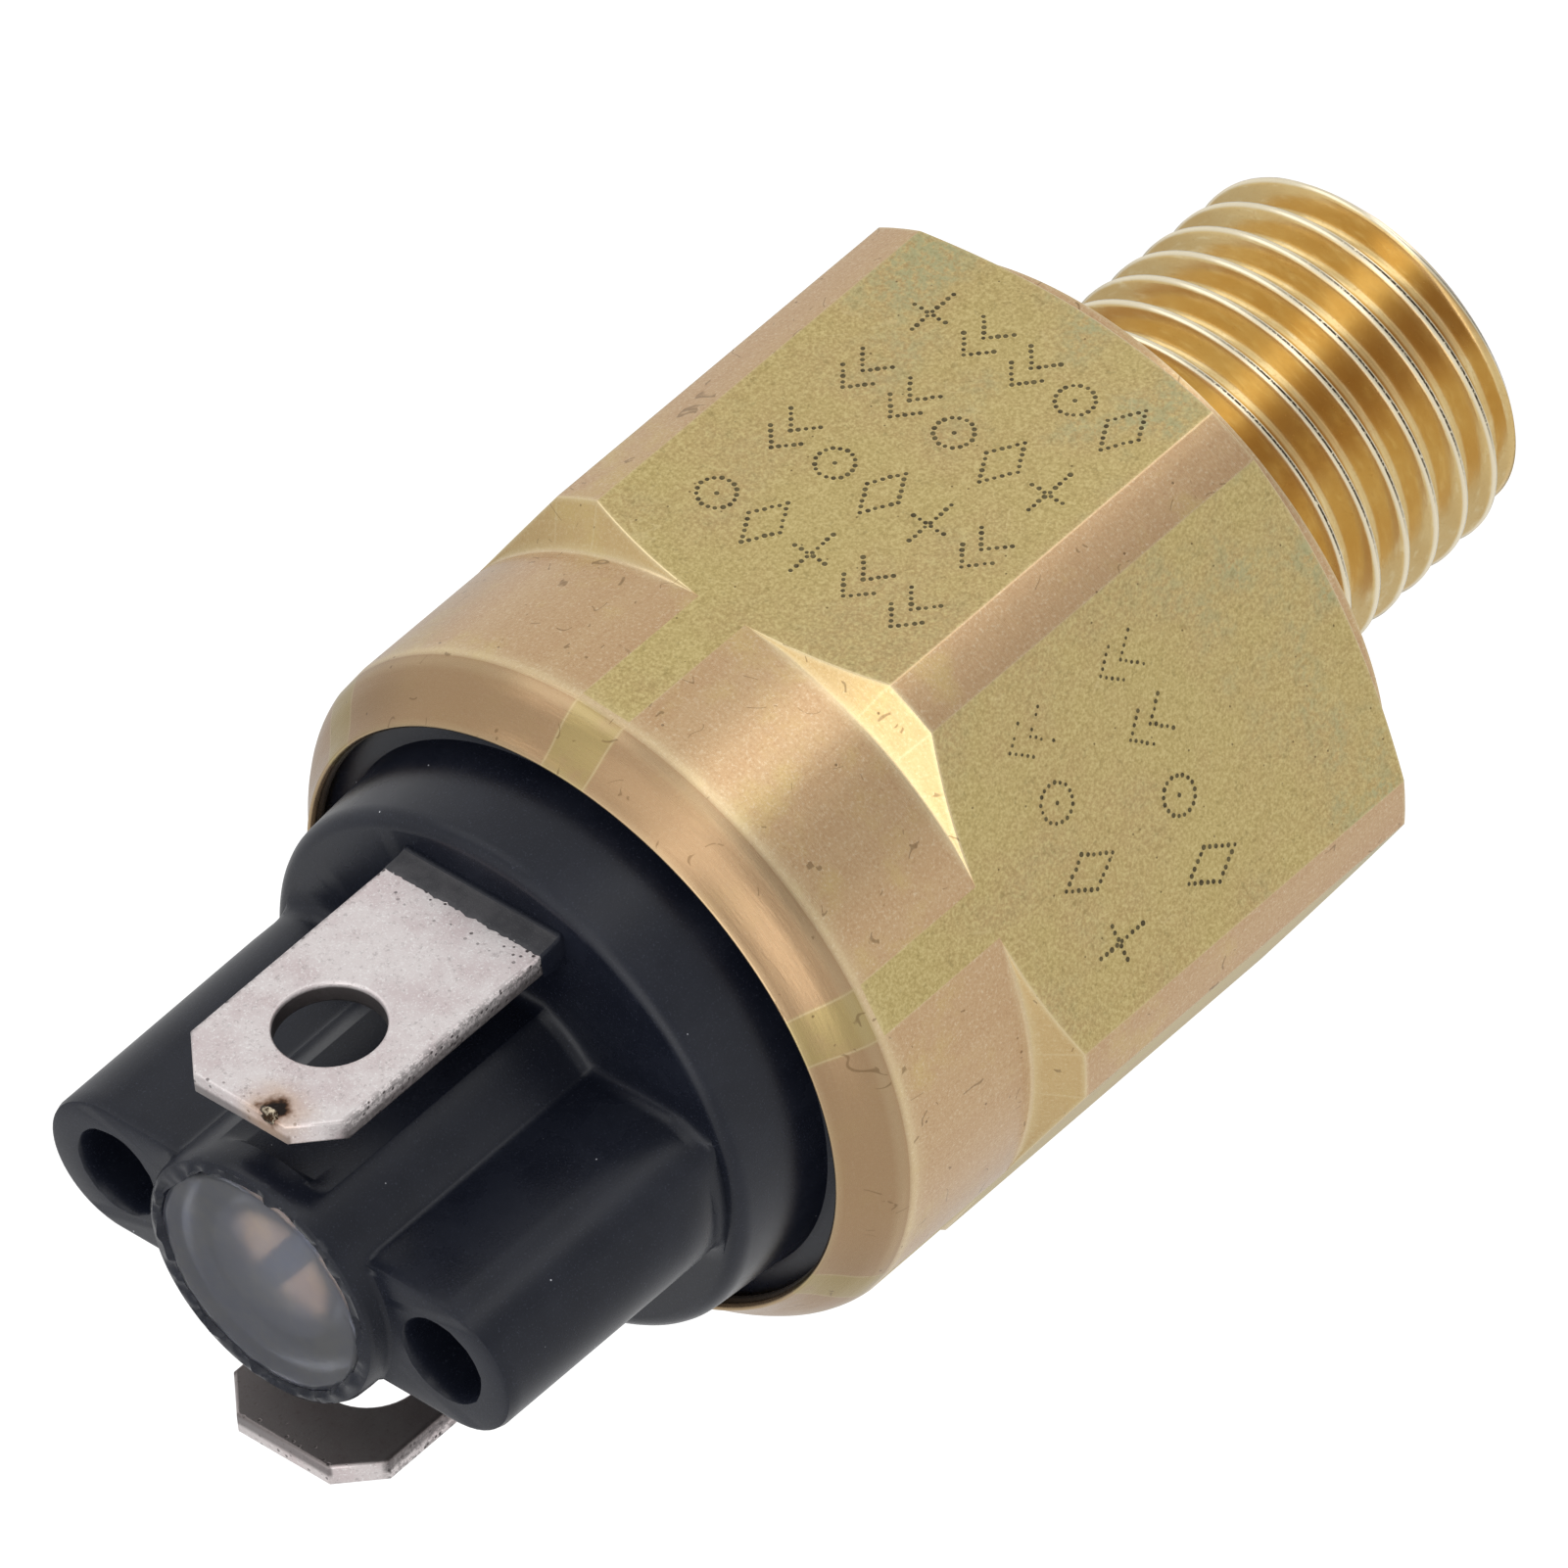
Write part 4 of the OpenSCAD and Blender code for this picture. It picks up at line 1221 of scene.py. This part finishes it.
def around(tree, place):
    """Brightness by compass angle. A card is its angle, half width, soft edge (in degrees) and gain."""
    x, y, z = axes(tree, place)
    angle = x.step("ARCTAN2", y, x)
    level = 1.0
    for middle, reach, soft, gain in CARDS:
        share = abs(angle - radians(middle)).ramp(radians(reach), radians(reach - soft))
        level = share * gain + level
    return level


bpy.ops.mesh.primitive_plane_add(size=2 * FLOOR_HALF, location=(0, 0, FLOOR_Z))
floor = bpy.context.object
floor.name = "floor"
# Painted light: the table glows, plain white to the camera and in brighter and darker sectors to every
# other ray, lighting the part and showing in the metal.
material, tree = start_material("glowing_table", Roughness=0.7)
table = tree.nodes["Principled BSDF"].inputs
table["Base Color"].default_value = (0.1, 0.1, 0.1, 1)
table["Emission Color"].default_value = (1, 1, 1, 1)
seen = Level(put(tree, "LightPath").outputs["Is Camera Ray"])
cards = around(tree, Level(put(tree, "TexCoord").outputs["Object"])) * 0.68
glow = put(tree, "Mix", data_type="FLOAT", in_0=seen, in_2=cards, in_3=1.0)
join(Level(glow.outputs[0]), table["Emission Strength"])
floor.data.materials.append(material)

scene = bpy.context.scene
world = bpy.data.worlds.new("studio")
scene.world = world
world.use_nodes = True
tree = world.node_tree
tree.nodes["Background"].inputs["Color"].default_value = (1, 1, 1, 1)
heading = Level(put(tree, "TexCoord").outputs["Generated"])
key = (cos(KEY_LIFT) * cos(KEY_TURN), cos(KEY_LIFT) * sin(KEY_TURN), sin(KEY_LIFT))
toward = Level(put(tree, "VectorMath", operation="DOT_PRODUCT", in_0=heading, in_1=key).outputs["Value"])
overhead = toward.ramp(0.6, 0.98) * 0.5
join(overhead + around(tree, heading) * 0.78, tree.nodes["Background"].inputs["Strength"])

look_at = Vector((-0.999, 0.7394, 13.17)) * MM
side_turn = radians(36.5)
tilt = radians(30)
level = Vector((sin(side_turn), cos(side_turn), 0))
back = level * cos(tilt) + Vector((0, 0, sin(tilt)))


def add_softbox(name, direction, distance, size, power):
    """A square area light that faces the object."""
    data = bpy.data.lights.new(name, "AREA")
    data.shape, data.size, data.energy = "SQUARE", size, power
    lamp = bpy.data.objects.new(name, data)
    scene.collection.objects.link(lamp)
    lamp.location = look_at + direction.normalized() * distance
    lamp.rotation_euler = (-direction).to_track_quat("-Z", "Y").to_euler()


across = Vector((0, 0, 1)).cross(back).normalized()
add_softbox("key", back * 0.5 + Vector((0, 0, 1)) - across * 0.3, 0.5, 0.3, 0.22)
add_softbox("fill", back * 0.4 + across * 0.9, 0.6, 0.4, 0.3)

camera_data = bpy.data.cameras.new("camera")
camera = bpy.data.objects.new("camera", camera_data)
scene.collection.objects.link(camera)
camera_data.sensor_width = 36.0
camera_data.lens = 764.0
camera_data.clip_end = 20.0
distance = 1.003
axis_in_view = radians(220.25)
upright = (Vector((0, 0, 1)) - back * back.z).normalized()
sideways = upright.cross(back)
up = upright * sin(axis_in_view) - sideways * cos(axis_in_view)
right = up.cross(back)
camera.matrix_world = Matrix((
    (right.x, up.x, back.x, look_at.x + back.x * distance),
    (right.y, up.y, back.y, look_at.y + back.y * distance),
    (right.z, up.z, back.z, look_at.z + back.z * distance),
    (0, 0, 0, 1),
))
scene.camera = camera
scene.view_settings.view_transform = "Standard"
